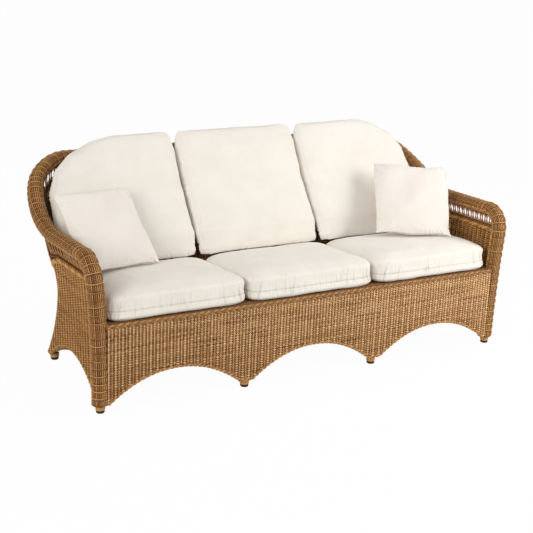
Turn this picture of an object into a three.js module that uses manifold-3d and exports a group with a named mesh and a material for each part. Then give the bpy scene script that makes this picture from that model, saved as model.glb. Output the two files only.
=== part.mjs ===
// A three-seat rattan garden sofa: a bent tube frame, woven skins with arched hems,
// wrapped rolls along the arms and back, openwork under the rolls, and loose cushions.
// Millimetres, +Z up, +X to the viewer's right, the front faces -Y.
// Heights are from the floor. Depths are from the line of the front legs until the
// finished group is moved so that its origin is the middle of its base.
import * as THREE from 'three';
import { mergeVertices } from 'three/addons/utils/BufferGeometryUtils.js';
import Module from 'manifold-3d';

const wasm = await Module();
wasm.setup();

// Driving dimensions
const seatGap = 0.3;
const endLegX = 906;
const middleLegX = 300;
const footLineZ = 32;

// The woven wall's shape: upright at the legs, waisted, reclined above the seat
const rearFootY = 583;
const waistY = 487;
const waistZ = 330;
const reclineDepth = 320;
const reclineTopZ = 772;
const splayPower = 1.9;
const armFlare = 30;
const rearFlare = 7;
const flareZ = 605;
const flareReachY = 500;
const flarePower = 2.2;
const flareLimitShare = 1.15;
const lowCornerRadius = 26;
const highCornerRadius = 250;
const highCornerZ = 800;
const cornerPower = 1.38;
const wallThickness = 12;

// The roll that runs from foot to foot over the arms and the back
const hoopRadius = 14;
const tubeWall = 2;
const rollHalfWidth = 32.5;
const rollHalfHeight = 27.5;
const armRollZ = 591;
const armDrop = 21;
const backRollZ = 783;
const riseStart = 439;
const riseLength = 449;
const shoulderRadius = 88;

// Openwork, mouldings and hems
const openworkHeight = 42;
const openworkThickness = 6;
const mouldingHalfHeight = 13;
const mouldingHalfWidth = 9;
const frontArchZ = 138;
const backArchZ = 75;
const sideArchZ = 139;
const archLegMargin = 28;
const middleArchLegMargin = 25;
const sideArchHalfSpan = 250;
const frontArchShift = 1;
const sideArchMiddleY = 288;
const archPower = 2.1;

// Fits between neighbours: skins start inside the band and lap what trims them
const skinStartY = 18;
const seatLap = 6;
const seamGap = 0.6;
const plugClearance = 1.2;

// Seat frame and deck
const deckTopZ = 346;
const rearRailZ = 287;
const deckThickness = 6;
const deckFrontGap = 2;
const railRadius = 12.5;
const straightLegTopZ = 34;
const splayTopZ = 66;
const cornerMiddleShare = 1.5;
const edgeRollRadius = 8;
const apronThickness = 11;

// Feet
const footWrapRadius = 17.5;
const footWrapTopZ = 30;
const glideRadius = 16.5;
const glideHeight = 8;
const glideEdge = 2;
const plugLength = 14;

// Cushions
const cushionWallClearance = 28;
const cushionCount = 3;
const cushionGap = 3;
const cushionFrontY = -18;
const cushionEdgeHeight = 106;
const cushionCrown = 26;
const cushionCorner = 42;
const cushionDrawIn = 9;
const cushionBackClearance = 4;
const squarePower = 9;
const crownSquarePower = 4;
const crownPower = 3;
const crownShares = [0.22, 0.42, 0.62, 0.82];
const backCushionWallClearance = 33;
const backCushionShift = -12;
const backCushionLift = 3;
const backCushionTopZ = 890;
const backCushionWaistDepth = 92;
const backCushionTopDepth = 143;
const backCushionInset = 56;
const backCushionBulge = 22;
const bulgeShare = 1.6;
const backCushionPower = 2.4;
const backCushionShares = [0, 0.05, 0.2, 0.38, 0.56, 0.73, 0.86, 0.95, 0.985];
const lowEdgeShare = 0.1;
const crestStartShare = 0.8;
const crestBackShare = 0.65;
const leftShoulder = [425, 280];
const rightShoulder = [325, 222];
const innerShoulder = [70, 60];
const shoulderPower = 2.4;
const pillowSize = 346;
const pillowThickness = 92;
const pillowDrawIn = 17;
const pillowCrownPower = 0.42;
const leftPillow = { side: -1, wallGap: 195, y: 246, lean: 42, turn: 18, roll: 4, lift: 0.9 };
const rightPillow = { side: 1, wallGap: 288, y: 199, lean: 41, turn: -27, roll: 1, lift: -0.6 };

// Facet counts
const tubeSides = 8;
const barSegments = 5;
const rollSides = 12;
const mouldingSides = 8;
const glideSides = 12;
const legSteps = 4;
const bendSteps = 5;
const armSteps = 4;
const cornerSteps = 8;
const backRiseSteps = 3;
const splaySteps = 4;
const reclineSteps = 7;
const sideColumns = 14;
const cornerColumns = 6;
const backColumns = 13;
const wallRows = 8;
const openworkRows = 1;
const apronColumns = 42;
const hemTries = 8;
const cushionRing = 32;
const pillowCells = 10;

const weaveFinish = { color: 0x9a6b3f, roughness: 0.65 };
const honeyFinish = { color: 0xb07a3c, roughness: 0.6 };
const caneFinish = { color: 0xb9772f, roughness: 0.5 };
const frameFinish = { color: 0x4a4038, roughness: 0.45, metalness: 0.6 };
const rubberFinish = { color: 0x16130f, roughness: 0.6 };
const creamFinish = { color: 0xe9e3d7, roughness: 0.9 };
const pillowFinish = { color: 0xefeae3, roughness: 0.9 };

const upward = new THREE.Vector3(0, 0, 1);
const outward = new THREE.Vector3(1, 0, 0);
const sofa = new THREE.Group();

function addPart(name, geometry, finish) {
  geometry.computeVertexNormals();
  const mesh = new THREE.Mesh(geometry, new THREE.MeshStandardMaterial(finish));
  mesh.name = name;
  sofa.add(mesh);
}

// A part on the right and the same part mirrored on the left
function addPair(name, geometry, finish) {
  addPart(`${name}_left`, mirrorGeometry(geometry), finish);
  addPart(`${name}_right`, geometry, finish);
}

// Shared curves

function smooth(t) {
  const s = THREE.MathUtils.clamp(t, 0, 1);
  return s * s * (3 - 2 * s);
}

function mix(a, b, t) {
  return a + (b - a) * t;
}

// Depth of the wall's middle surface along the back, at height z
function backY(z) {
  if (z < waistZ) {
    const t = (waistZ - Math.max(z, footLineZ)) / (waistZ - footLineZ);
    return waistY + (rearFootY - waistY) * t ** splayPower;
  }
  return waistY + reclineDepth * smooth((z - waistZ) / (reclineTopZ - waistZ));
}

// Distance of the side wall's middle surface from the centre plane
function sideX(y, z) {
  const t = THREE.MathUtils.clamp(z / flareZ, 0, flareLimitShare);
  return endLegX + (armFlare + rearFlare * y / flareReachY) * t ** flarePower;
}

function cornerRadius(z) {
  return lowCornerRadius + (highCornerRadius - lowCornerRadius) * (z / highCornerZ) ** cornerPower;
}

// A point of the wall's middle surface on the right half of the sofa.
// u runs from the front leg (0) to the rear corner's start (1), round the corner (2)
// and along the back to the centre plane (3).
function wallPoint(u, z) {
  const radius = cornerRadius(z);
  const cornerY = backY(z) - radius;
  if (u <= 1) return new THREE.Vector3(sideX(u * cornerY, z), u * cornerY, z);
  const sideLine = sideX(cornerY, z);
  if (u <= 2) {
    const angle = (u - 1) * Math.PI / 2;
    const x = sideLine - radius * (1 - Math.cos(angle));
    return new THREE.Vector3(x, cornerY + radius * Math.sin(angle), z);
  }
  return new THREE.Vector3((sideLine - radius) * (3 - u), backY(z), z);
}

const sideRun = backY(flareZ) - cornerRadius(flareZ);
const cornerRun = cornerRadius(backRollZ) * Math.PI / 2;
const backRun = sideX(sideRun, backRollZ) - cornerRadius(backRollZ);

// Height of the roll's middle: level on the arm, then rising round the corner
function rollZ(u) {
  let travel = u * sideRun;
  if (u > 1) travel = sideRun + (u - 1) * cornerRun;
  if (u > 2) travel = sideRun + cornerRun + (u - 2) * backRun;
  const arm = armRollZ - armDrop * Math.min(travel / sideRun, 1);
  return mix(arm, backRollZ, smooth((travel - riseStart) / riseLength));
}

// Distances below the roll's middle, measured on the wall square to the roll
const openworkTop = rollHalfHeight + seatGap;
const openworkBottom = openworkTop + openworkHeight;
const mouldingMiddle = openworkBottom + seatGap + mouldingHalfHeight;
const panelTop = mouldingMiddle + mouldingHalfHeight + seatGap;

// Directions on the wall at u: along the roll, up the wall, and out of the wall
function wallFrame(u, z) {
  const du = 1e-3;
  const [low, high] = [Math.max(u - du, 0), Math.min(u + du, 3)];
  const along = wallPoint(high, z + rollZ(high) - rollZ(u));
  along.sub(wallPoint(low, z + rollZ(low) - rollZ(u))).normalize();
  const up = wallPoint(u, z + seatGap).sub(wallPoint(u, z - seatGap)).divideScalar(2 * seatGap);
  const out = new THREE.Vector3().crossVectors(along, up);
  return { along, up, drop: 1 / out.length(), out: out.normalize() };
}

// Height of the line that runs a given distance below the roll's middle
function lineZ(u, distance) {
  const middle = rollZ(u) - (openworkTop + openworkHeight / 2);
  return rollZ(u) - distance * wallFrame(u, middle).drop;
}

function linePoint(u, distance) {
  return wallPoint(u, lineZ(u, distance));
}

const archHalfSpan = (endLegX - middleLegX) / 2 - archLegMargin;
const middleArchHalfSpan = middleLegX - middleArchLegMargin;
const frontArchMiddleX = (endLegX + middleLegX) / 2 + frontArchShift;

// Share of an arch's rise at t half spans from its middle
function archShare(t) {
  return Math.max(0, 1 - Math.abs(t) ** archPower);
}

// Geometry helpers

function signedVolume(geometry) {
  const position = geometry.getAttribute('position');
  const index = geometry.getIndex().array;
  const [a, b, c] = [new THREE.Vector3(), new THREE.Vector3(), new THREE.Vector3()];
  let volume = 0;
  for (let i = 0; i < index.length; i += 3) {
    a.fromBufferAttribute(position, index[i]);
    b.fromBufferAttribute(position, index[i + 1]);
    c.fromBufferAttribute(position, index[i + 2]);
    volume += a.dot(b.cross(c));
  }
  return volume;
}

function flipWinding(geometry) {
  const index = geometry.getIndex().array;
  for (let i = 0; i < index.length; i += 3) {
    [index[i + 1], index[i + 2]] = [index[i + 2], index[i + 1]];
  }
}

// Indexed geometry from points and triangles, turned so that it faces outwards
function geometryFrom(points, triangles) {
  const geometry = new THREE.BufferGeometry();
  geometry.setFromPoints(points);
  geometry.setIndex(triangles);
  if (signedVolume(geometry) < 0) flipWinding(geometry);
  return geometry;
}

// The same geometry on the other side of the centre plane
function mirrorGeometry(geometry) {
  const source = geometry.getIndex() ? geometry : mergeVertices(geometry);
  const position = source.getAttribute('position');
  const points = [];
  for (let i = 0; i < position.count; i += 1) {
    points.push(new THREE.Vector3(-position.getX(i), position.getY(i), position.getZ(i)));
  }
  return geometryFrom(points, [...source.getIndex().array]);
}

function mirrorPoints(points) {
  return points.map((p) => new THREE.Vector3(-p.x, p.y, p.z));
}

// Rows of the right half, from the front to the centre plane, and on to the left front
function acrossCentre(rows) {
  return [...rows, ...rows.slice(0, -1).map(mirrorPoints).reverse()];
}

// Triangles of the skin between neighbouring rings of equal length
function ringTriangles(ringCount, sides, shift = 0) {
  const triangles = [];
  for (let r = 0; r + 1 < ringCount; r += 1) {
    for (let s = 0; s < sides; s += 1) {
      const [a, b] = [shift + r * sides + s, shift + r * sides + (s + 1) % sides];
      triangles.push(a, b, a + sides, b, b + sides, a + sides);
    }
  }
  return triangles;
}

// Rings joined into one closed body, with a flat fan on each end
function loft(rings) {
  const sides = rings[0].length;
  const points = rings.flat();
  const triangles = ringTriangles(rings.length, sides);
  for (const [ring, flip] of [[0, true], [rings.length - 1, false]]) {
    const middle = points.length;
    const centre = new THREE.Vector3();
    for (const p of rings[ring]) centre.addScaledVector(p, 1 / sides);
    points.push(centre);
    for (let s = 0; s < sides; s += 1) {
      const [a, b] = [ring * sides + s, ring * sides + (s + 1) % sides];
      triangles.push(middle, ...(flip ? [b, a] : [a, b]));
    }
  }
  return geometryFrom(points, triangles);
}

// Outer and inner rings joined into a pipe whose two ends are open
function pipeLoft(outer, inner) {
  const sides = outer[0].length;
  const shift = outer.length * sides;
  const triangles = ringTriangles(outer.length, sides);
  const lining = ringTriangles(inner.length, sides, shift);
  for (let i = 0; i < lining.length; i += 3) triangles.push(lining[i + 1], lining[i], lining[i + 2]);
  for (const [ring, flip] of [[0, false], [outer.length - 1, true]]) {
    for (let s = 0; s < sides; s += 1) {
      const [a, b] = [ring * sides + s, ring * sides + (s + 1) % sides];
      const [c, d] = [a + shift, b + shift];
      triangles.push(...(flip ? [a, b, c, b, d, c] : [b, a, d, a, c, d]));
    }
  }
  return geometryFrom([...outer.flat(), ...inner.flat()], triangles);
}

// Rings of a section swept along stations. The section's first axis stays level.
function sweepRings(stations, halfWidth, halfHeight, sides) {
  return stations.map((station, i) => {
    const before = stations[Math.max(i - 1, 0)];
    const after = stations[Math.min(i + 1, stations.length - 1)];
    const along = after.point.clone().sub(before.point).normalize();
    const across = station.across.clone();
    across.addScaledVector(along, -along.dot(station.across)).normalize();
    const up = new THREE.Vector3().crossVectors(across, along);
    return Array.from({ length: sides }, (_, s) => {
      const angle = (s + 0.5) / sides * Math.PI * 2;
      return station.point.clone()
        .addScaledVector(across, halfWidth * Math.cos(angle))
        .addScaledVector(up, halfHeight * Math.sin(angle));
    });
  });
}

// The rings of one run of a route. A trimmed end is drawn in by half a gap.
function ringRun(rings, from, to, trimStart, trimEnd) {
  const run = rings.slice(from, to + 1);
  const drawIn = (end, next) => end.map((p, i) => {
    const toward = next[i].clone().sub(p).normalize();
    return p.clone().addScaledVector(toward, seatGap / 2);
  });
  const last = run.length - 1;
  if (trimEnd) run[last] = drawIn(rings[to], rings[to - 1]);
  if (trimStart) run[0] = drawIn(rings[from], rings[from + 1]);
  return run;
}

// Columns of paired outer and inner points joined into one closed sheet
function sheet(columns) {
  const tall = columns[0].length / 2;
  const triangles = [];
  const id = (c, r) => c * tall * 2 + r;
  for (let c = 0; c + 1 < columns.length; c += 1) {
    for (let r = 0; r + 1 < tall; r += 1) {
      const [a, b] = [id(c, r), id(c + 1, r)];
      triangles.push(a, b, a + 1, b, b + 1, a + 1);
      const [d, e] = [a + tall, b + tall];
      triangles.push(e, d, d + 1, e, d + 1, e + 1);
    }
  }
  const rim = [];
  const last = columns.length - 1;
  for (let c = 0; c < last; c += 1) rim.push(id(c, 0));
  for (let r = 0; r < tall - 1; r += 1) rim.push(id(last, r));
  for (let c = last; c > 0; c -= 1) rim.push(id(c, tall - 1));
  for (let r = tall - 1; r > 0; r -= 1) rim.push(id(0, r));
  rim.forEach((a, i) => {
    const b = rim[(i + 1) % rim.length];
    triangles.push(b, a, a + tall, b, a + tall, b + tall);
  });
  return geometryFrom(columns.flat(), triangles);
}

function toManifold(geometry) {
  const bare = new THREE.BufferGeometry();
  bare.setAttribute('position', geometry.getAttribute('position').clone());
  if (geometry.getIndex()) bare.setIndex(geometry.getIndex().clone());
  const merged = mergeVertices(bare);
  const vertProperties = new Float32Array(merged.getAttribute('position').array);
  const triVerts = new Uint32Array(merged.getIndex().array);
  return new wasm.Manifold(new wasm.Mesh({ numProp: 3, vertProperties, triVerts }));
}

function cutBy(geometry, cutters) {
  let solid = toManifold(geometry);
  for (const cutter of cutters) solid = solid.subtract(toManifold(cutter));
  const mesh = solid.getMesh();
  const result = new THREE.BufferGeometry();
  result.setAttribute('position', new THREE.Float32BufferAttribute(mesh.vertProperties, 3));
  result.setIndex([...mesh.triVerts]);
  return result;
}

function circleShape(radius, boreRadius = 0) {
  const shape = new THREE.Shape();
  shape.absarc(0, 0, radius, 0, Math.PI * 2, false);
  if (boreRadius > 0) {
    const hole = new THREE.Path();
    hole.absarc(0, 0, boreRadius, 0, Math.PI * 2, true);
    shape.holes.push(hole);
  }
  return shape;
}

// A straight bar from start to end, bored when it has a bore radius
function straightBar(start, end, radius, boreRadius = 0) {
  const geometry = new THREE.ExtrudeGeometry(circleShape(radius, boreRadius), {
    depth: start.distanceTo(end), bevelEnabled: false, curveSegments: barSegments,
  });
  const toward = end.clone().sub(start).normalize();
  geometry.applyQuaternion(new THREE.Quaternion().setFromUnitVectors(upward, toward));
  geometry.translate(start.x, start.y, start.z);
  return geometry;
}

// The route of the hoop and of the roll round it: up the leg, along the arm, round the
// rear corner and along the back to the centre plane

function station(point, across) {
  return { point, across: across.clone() };
}

function legStation(z) {
  return station(new THREE.Vector3(sideX(0, z), 0, z), outward);
}

function legStations() {
  const shoulderZ = armRollZ - shoulderRadius;
  const stations = [];
  for (let i = 0; i <= legSteps; i += 1) {
    stations.push(legStation(mix(footWrapTopZ + seatGap, shoulderZ, i / legSteps)));
  }
  for (let i = 1; i <= bendSteps; i += 1) {
    const angle = i / bendSteps * Math.PI / 2;
    const y = shoulderRadius * (1 - Math.cos(angle));
    const z = shoulderZ + shoulderRadius * Math.sin(angle);
    const x = sideX(y, Math.min(z, armRollZ - rollHalfHeight));
    stations.push(station(new THREE.Vector3(x, y, z), outward));
  }
  return stations;
}

function wallAcross(u) {
  const angle = THREE.MathUtils.clamp(u - 1, 0, 1) * Math.PI / 2;
  return new THREE.Vector3(Math.cos(angle), Math.sin(angle), 0);
}

function rollPoint(u) {
  const z = rollZ(u);
  return wallPoint(u, z - rollHalfHeight).setZ(z);
}

function wallStations(from, to, steps, pointAt) {
  return Array.from({ length: steps + 1 }, (_, i) => {
    const u = mix(from, to, i / steps);
    return station(pointAt(u), wallAcross(u));
  });
}

// Stations on the back: close together while the roll still rises there, then one at the centre
function backStations(pointAt) {
  const centre = station(pointAt(3), wallAcross(3));
  const riseOnBack = riseStart + riseLength - sideRun - cornerRun;
  if (riseOnBack <= 0) return [centre];
  const riseEnd = Math.min(2 + riseOnBack / backRun, 3);
  const rising = wallStations(2, riseEnd, backRiseSteps, pointAt).slice(1);
  return riseEnd < 3 ? [...rising, centre] : rising;
}

// Stations from the arm's start to the centre plane, with the indices of the joins
function routeAlong(armStart, pointAt, start = []) {
  const arm = wallStations(armStart, 1, armSteps, pointAt).slice(start.length ? 1 : 0);
  const corner = wallStations(1, 2, cornerSteps, pointAt).slice(1);
  const back = backStations(pointAt);
  const stations = [...start, ...arm, ...corner, ...back];
  const middle = stations.length - 1;
  const cornerEnd = middle - back.length;
  return { stations, armEnd: cornerEnd - cornerSteps, cornerEnd, middle };
}

const armStart = shoulderRadius / sideRun;
const rollRoute = routeAlong(armStart, rollPoint, legStations());
const mouldingRoute = routeAlong(skinStartY / sideRun, (u) => linePoint(u, mouldingMiddle));

function rollRings(grow, stations = rollRoute.stations) {
  return sweepRings(stations, rollHalfWidth + grow, rollHalfHeight + grow, rollSides);
}

function mouldingRings(grow) {
  const [wide, tall] = [mouldingHalfWidth + grow, mouldingHalfHeight + grow];
  return sweepRings(mouldingRoute.stations, wide, tall, mouldingSides);
}

// Everything that meets a roll or a moulding is cut back by these
const rollEnvelope = loft(acrossCentre(
  rollRings(seatGap, [legStation(glideHeight), ...rollRoute.stations])));
const mouldingEnvelope = loft(acrossCentre(mouldingRings(seatGap)));

// The frame of bent and straight tubes

const railZ = deckTopZ - deckThickness - seatGap - railRadius;
const frameInset = mouldingHalfWidth + 3 * seatGap + railRadius;

function addHoop() {
  const stations = [legStation(glideHeight + seatGap), ...rollRoute.stations];
  const outer = sweepRings(stations, hoopRadius, hoopRadius, tubeSides);
  const bore = hoopRadius - tubeWall;
  const inner = sweepRings(stations, bore, bore, tubeSides);
  addPart('arm_and_back_hoop', pipeLoft(acrossCentre(outer), acrossCentre(inner)), frameFinish);
}

// Middle of an upright that stands inside the wall at u
function innerPoint(u, z) {
  return wallPoint(u, z).addScaledVector(wallFrame(u, z).out, -frameInset);
}

// Where on the back the plane at x stands at height z
function backU(x, z) {
  const radius = cornerRadius(z);
  return 3 - x / (sideX(backY(z) - radius, z) - radius);
}

// A bent tube inside the wall, upright at its foot, that ends under the roll
function upright(uAt) {
  const across = wallAcross(uAt(footLineZ));
  const foot = innerPoint(uAt(glideHeight), glideHeight);
  const points = [foot.clone().setZ(glideHeight + seatGap), foot.clone().setZ(straightLegTopZ)];
  const topZ = rollZ(uAt(backRollZ)) - rollHalfHeight;
  for (const [from, to, steps] of [[splayTopZ, waistZ, splaySteps], [waistZ, topZ, reclineSteps]]) {
    for (let i = from === waistZ ? 1 : 0; i <= steps; i += 1) {
      const z = mix(from, to, i / steps);
      points.push(innerPoint(uAt(z), z));
    }
  }
  const stations = points.map((point) => station(point, across));
  const bore = railRadius - tubeWall;
  const tube = pipeLoft(sweepRings(stations, railRadius, railRadius, tubeSides),
    sweepRings(stations, bore, bore, tubeSides));
  return cutBy(tube, [rollEnvelope]);
}

const cornerFoot = innerPoint(cornerMiddleShare, glideHeight);
const middleFoot = innerPoint(backU(middleLegX, glideHeight), glideHeight);

function addUprights() {
  addPair('rear_corner_post', upright(() => cornerMiddleShare), frameFinish);
  addPair('back_upright', upright((z) => backU(middleLegX, z)), frameFinish);
}

const rearRailY = innerPoint(backU(middleLegX, rearRailZ), rearRailZ).y - 2 * railRadius - seatGap;
const sideRailX = endLegX - rollHalfWidth - seatGap - railRadius;
const seatTilt = Math.atan2(railZ - rearRailZ, rearRailY);
const postFrontY = innerPoint(cornerMiddleShare, railZ).y - railRadius - seatGap;
const seatTurn = new THREE.Quaternion().setFromAxisAngle(outward, -seatTilt);

// A point of the tilted seat: x across, s back along the rails, h above their middles
function seatPoint(x, s, h = 0) {
  const point = new THREE.Vector3(x, s, h).applyQuaternion(seatTurn);
  point.z += railZ;
  return point;
}

// Geometry drawn level at the seat's own origin, turned and raised to its place
function onSeat(geometry) {
  geometry.applyQuaternion(seatTurn);
  geometry.translate(0, 0, railZ);
  return geometry;
}

function addSeatFrame() {
  const tube = (start, end) => straightBar(start, end, railRadius, railRadius - tubeWall);
  const point = (x, y, z) => new THREE.Vector3(x, y, z);
  const frontEnd = sideX(0, railZ) - hoopRadius - seatGap;
  const frontRail = tube(point(-frontEnd, 0, railZ), point(frontEnd, 0, railZ));
  addPart('seat_front_rail', frontRail, frameFinish);
  const rearEnd = sideRailX - railRadius - seatGap;
  const rearRail = tube(point(-rearEnd, rearRailY, rearRailZ), point(rearEnd, rearRailY, rearRailZ));
  addPart('seat_rear_rail', rearRail, frameFinish);
  const start = (railRadius + seatGap) / Math.cos(seatTilt) + railRadius * Math.tan(seatTilt);
  const barEnd = Math.hypot(rearRailY, railZ - rearRailZ) - railRadius - seatGap;
  const sideEnd = postFrontY / Math.cos(seatTilt);
  const bar = (x, end) => tube(seatPoint(x, start), seatPoint(x, end));
  addPair('seat_side_rail', bar(sideRailX, sideEnd), frameFinish);
  addPair('seat_cross_bar', bar(middleLegX, barEnd), frameFinish);
  const legFoot = point(middleLegX, 0, glideHeight + seatGap);
  const legTop = point(middleLegX, 0, railZ - railRadius - seatGap);
  addPair('front_middle_leg', tube(legFoot, legTop), frameFinish);
}

// Rolls wrapped round the hoop, the arm's cut open where the front rail passes through it

function addRolls() {
  const { armEnd, cornerEnd, middle } = rollRoute;
  const outer = rollRings(0);
  const bore = (hoopRadius + seatGap) / Math.cos(Math.PI / rollSides);
  const inner = sweepRings(rollRoute.stations, bore, bore, rollSides);
  const roll = (...run) => pipeLoft(ringRun(outer, ...run), ringRun(inner, ...run));
  const railHole = straightBar(new THREE.Vector3(0, 0, railZ),
    new THREE.Vector3(endLegX, 0, railZ), railRadius + seatGap);
  addPair('arm_roll', cutBy(roll(0, armEnd, false, true), [railHole]), weaveFinish);
  addPair('rear_corner_roll', roll(armEnd, cornerEnd, true, true), weaveFinish);
  const backRun = (rings) => acrossCentre(ringRun(rings, cornerEnd, middle, true, false));
  addPart('back_roll', pipeLoft(backRun(outer), backRun(inner)), weaveFinish);
}

function addMouldings() {
  const { armEnd, cornerEnd, middle } = mouldingRoute;
  const rings = mouldingRings(0);
  const arm = cutBy(loft(ringRun(rings, 0, armEnd, false, true)), [rollEnvelope]);
  addPair('arm_moulding', arm, honeyFinish);
  addPair('corner_moulding', loft(ringRun(rings, armEnd, cornerEnd, true, true)), honeyFinish);
  const back = acrossCentre(ringRun(rings, cornerEnd, middle, true, false));
  addPart('back_moulding', loft(back), honeyFinish);
}

// Woven walls and the openwork above them

// Place on the side wall at a share of its depth behind the front band
function sideU(share, z) {
  return mix(skinStartY / (backY(z) - cornerRadius(z)), 1, share);
}

// Height of the hem under u, found where the arch meets that line of the wall
function hemZ(u, z = footLineZ, tries = hemTries) {
  if (tries === 0 || (u >= 1 && u <= 2)) return z;
  const { x, y } = wallPoint(u, z);
  if (u < 1) return hemZ(u, sideArch(y), tries - 1);
  const bay = x > middleLegX ? x - middleLegX - archHalfSpan : x;
  const reach = x > middleLegX ? archHalfSpan : middleLegX;
  return footLineZ + (backArchZ - footLineZ) * archShare(bay / reach);
}

function sideArch(y) {
  const share = archShare((y - sideArchMiddleY) / sideArchHalfSpan);
  return footLineZ + (sideArchZ - footLineZ) * share;
}

// One column of a skin: its outer points from low to high, then its inner points
function skinColumn(uAt, lowZ, highZ, rows, thickness, pull = 0) {
  const [outer, inner] = [[], []];
  for (let r = 0; r <= rows; r += 1) {
    const z = mix(lowZ, highZ, r / rows);
    const u = uAt(z);
    const { along, out } = wallFrame(u, z);
    const middle = wallPoint(u, z).addScaledVector(along, pull * seamGap / 2);
    outer.push(middle.clone().addScaledVector(out, thickness / 2));
    inner.push(middle.clone().addScaledVector(out, -thickness / 2));
  }
  return [...outer, ...inner];
}

// Columns from one place on the wall to another, between two heights given for each place.
// The ends at the rear corner are drawn apart.
function skinColumns(from, to, steps, rows, thickness, lowAt, highAt) {
  return Array.from({ length: steps + 1 }, (_, i) => {
    const share = i / steps;
    const u = mix(from, to, share);
    const uAt = from === 0 ? (z) => sideU(share, z) : () => u;
    let pull = 0;
    if (i === 0 && from > 0) pull = 1;
    if (i === steps && to < 3) pull = -1;
    return skinColumn(uAt, lowAt(u), highAt(u), rows, thickness, pull);
  });
}

const sections = [[0, 1, sideColumns], [1, 2, cornerColumns], [2, 3, backColumns]];

// The side, corner and back pieces of one skin, cut to fit the pieces round them
function skinPieces(rows, thickness, lowAt, highAt, cutters) {
  return sections.map(([from, to, steps]) => {
    const columns = skinColumns(from, to, steps, rows, thickness, lowAt, highAt);
    return cutBy(sheet(to === 3 ? acrossCentre(columns) : columns), cutters);
  });
}

function addWalls() {
  const top = (u) => lineZ(u, panelTop - seatLap);
  const cutters = [mouldingEnvelope, rollEnvelope];
  const [side, corner, back] = skinPieces(wallRows, wallThickness, (u) => hemZ(u), top, cutters);
  addPair('side_panel', side, weaveFinish);
  addPair('rear_corner_panel', corner, weaveFinish);
  addPart('back_panel', back, weaveFinish);
}

function addOpenwork() {
  const low = (u) => lineZ(u, openworkBottom + seatLap);
  const high = (u) => lineZ(u, openworkTop - seatLap);
  const cutters = [mouldingEnvelope, rollEnvelope];
  const [arm, corner, back] = skinPieces(openworkRows, openworkThickness, low, high, cutters);
  addPair('arm_openwork', arm, honeyFinish);
  addPair('corner_openwork', corner, honeyFinish);
  addPart('back_openwork', back, honeyFinish);
}

// The apron under the seat's front edge, with three arches along its hem

const apronBackY = -hoopRadius - seatGap;
const edgeRollY = apronBackY - apronThickness / 2;
const edgeRollZ = deckTopZ - edgeRollRadius;

function frontHem(x) {
  const outer = Math.abs(x) > middleLegX;
  const bay = outer ? (Math.abs(x) - frontArchMiddleX) / archHalfSpan : x / middleArchHalfSpan;
  return footLineZ + (frontArchZ - footLineZ) * archShare(bay);
}

function addApron() {
  const top = edgeRollZ - edgeRollRadius - seatGap;
  const outline = [new THREE.Vector2(-endLegX, top)];
  for (let i = 0; i <= apronColumns; i += 1) {
    const x = mix(-endLegX, endLegX, i / apronColumns);
    outline.push(new THREE.Vector2(x, frontHem(x)));
  }
  outline.push(new THREE.Vector2(endLegX, top));
  const apron = new THREE.ExtrudeGeometry(new THREE.Shape(outline), {
    depth: apronThickness, bevelEnabled: false,
  });
  apron.rotateX(Math.PI / 2);
  apron.translate(0, apronBackY, 0);
  addPart('front_apron', cutBy(apron, [rollEnvelope]), weaveFinish);
  const roll = straightBar(new THREE.Vector3(-endLegX, edgeRollY, edgeRollZ),
    new THREE.Vector3(endLegX, edgeRollY, edgeRollZ), edgeRollRadius);
  addPart('seat_edge_roll', cutBy(roll, [rollEnvelope]), honeyFinish);
}

const deckUnderside = railRadius + seatGap;
const deckTop = deckUnderside + deckThickness;

function addDeck() {
  const front = edgeRollY + edgeRollRadius + deckFrontGap;
  const rear = postFrontY - deckFrontGap;
  const halfX = endLegX - wallThickness / 2 - seatGap;
  const deck = new THREE.BoxGeometry(2 * halfX, rear - front, deckThickness);
  deck.translate(0, (front + rear) / 2, (deckUnderside + deckTop) / 2);
  addPart('seat_deck', cutBy(onSeat(deck), [rollEnvelope]), weaveFinish);
}

// Feet: a cane wrap round each leg's end, and a black glide plugged into the tube

function footWrap(place, legRadius) {
  const bottom = place.clone().setZ(glideHeight + seatGap);
  const bore = (legRadius + seatGap) / Math.cos(Math.PI / (2 * barSegments));
  return straightBar(bottom, place.clone().setZ(footWrapTopZ), footWrapRadius, bore);
}

function glide(place, legRadius) {
  const plugRadius = legRadius - tubeWall - plugClearance;
  const plugTop = glideHeight + plugLength;
  const profile = [
    [0, 0], [glideRadius - glideEdge, 0], [glideRadius, glideEdge], [glideRadius, glideHeight],
    [plugRadius, glideHeight], [plugRadius, plugTop], [0, plugTop],
  ].map(([r, z]) => new THREE.Vector2(r, z));
  const body = new THREE.LatheGeometry(profile, glideSides);
  body.rotateX(Math.PI / 2);
  body.translate(place.x, place.y, 0);
  return mergeVertices(body);
}

function addFeet() {
  const feet = [
    ['front_corner_foot', legStation(glideHeight).point, hoopRadius],
    ['front_middle_foot', new THREE.Vector3(middleLegX, 0, 0), railRadius],
    ['rear_corner_foot', cornerFoot, railRadius],
    ['rear_middle_foot', middleFoot, railRadius],
  ];
  for (const [foot, place, legRadius] of feet) {
    addPair(`${foot}_wrap`, footWrap(place, legRadius), caneFinish);
    addPair(`${foot}_glide`, glide(place, legRadius), rubberFinish);
  }
}

// Cushions

// A rounded rectangle, or any blend towards an ellipse, as one ring of points
function roundedRing(halfX, halfY, power, count) {
  return Array.from({ length: count }, (_, i) => {
    const angle = (i + 0.5) / count * Math.PI * 2;
    const [c, s] = [Math.cos(angle), Math.sin(angle)];
    const reach = (half, t) => half * Math.sign(t) * Math.abs(t) ** (2 / power);
    return [reach(halfX, c), reach(halfY, s)];
  });
}

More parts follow.
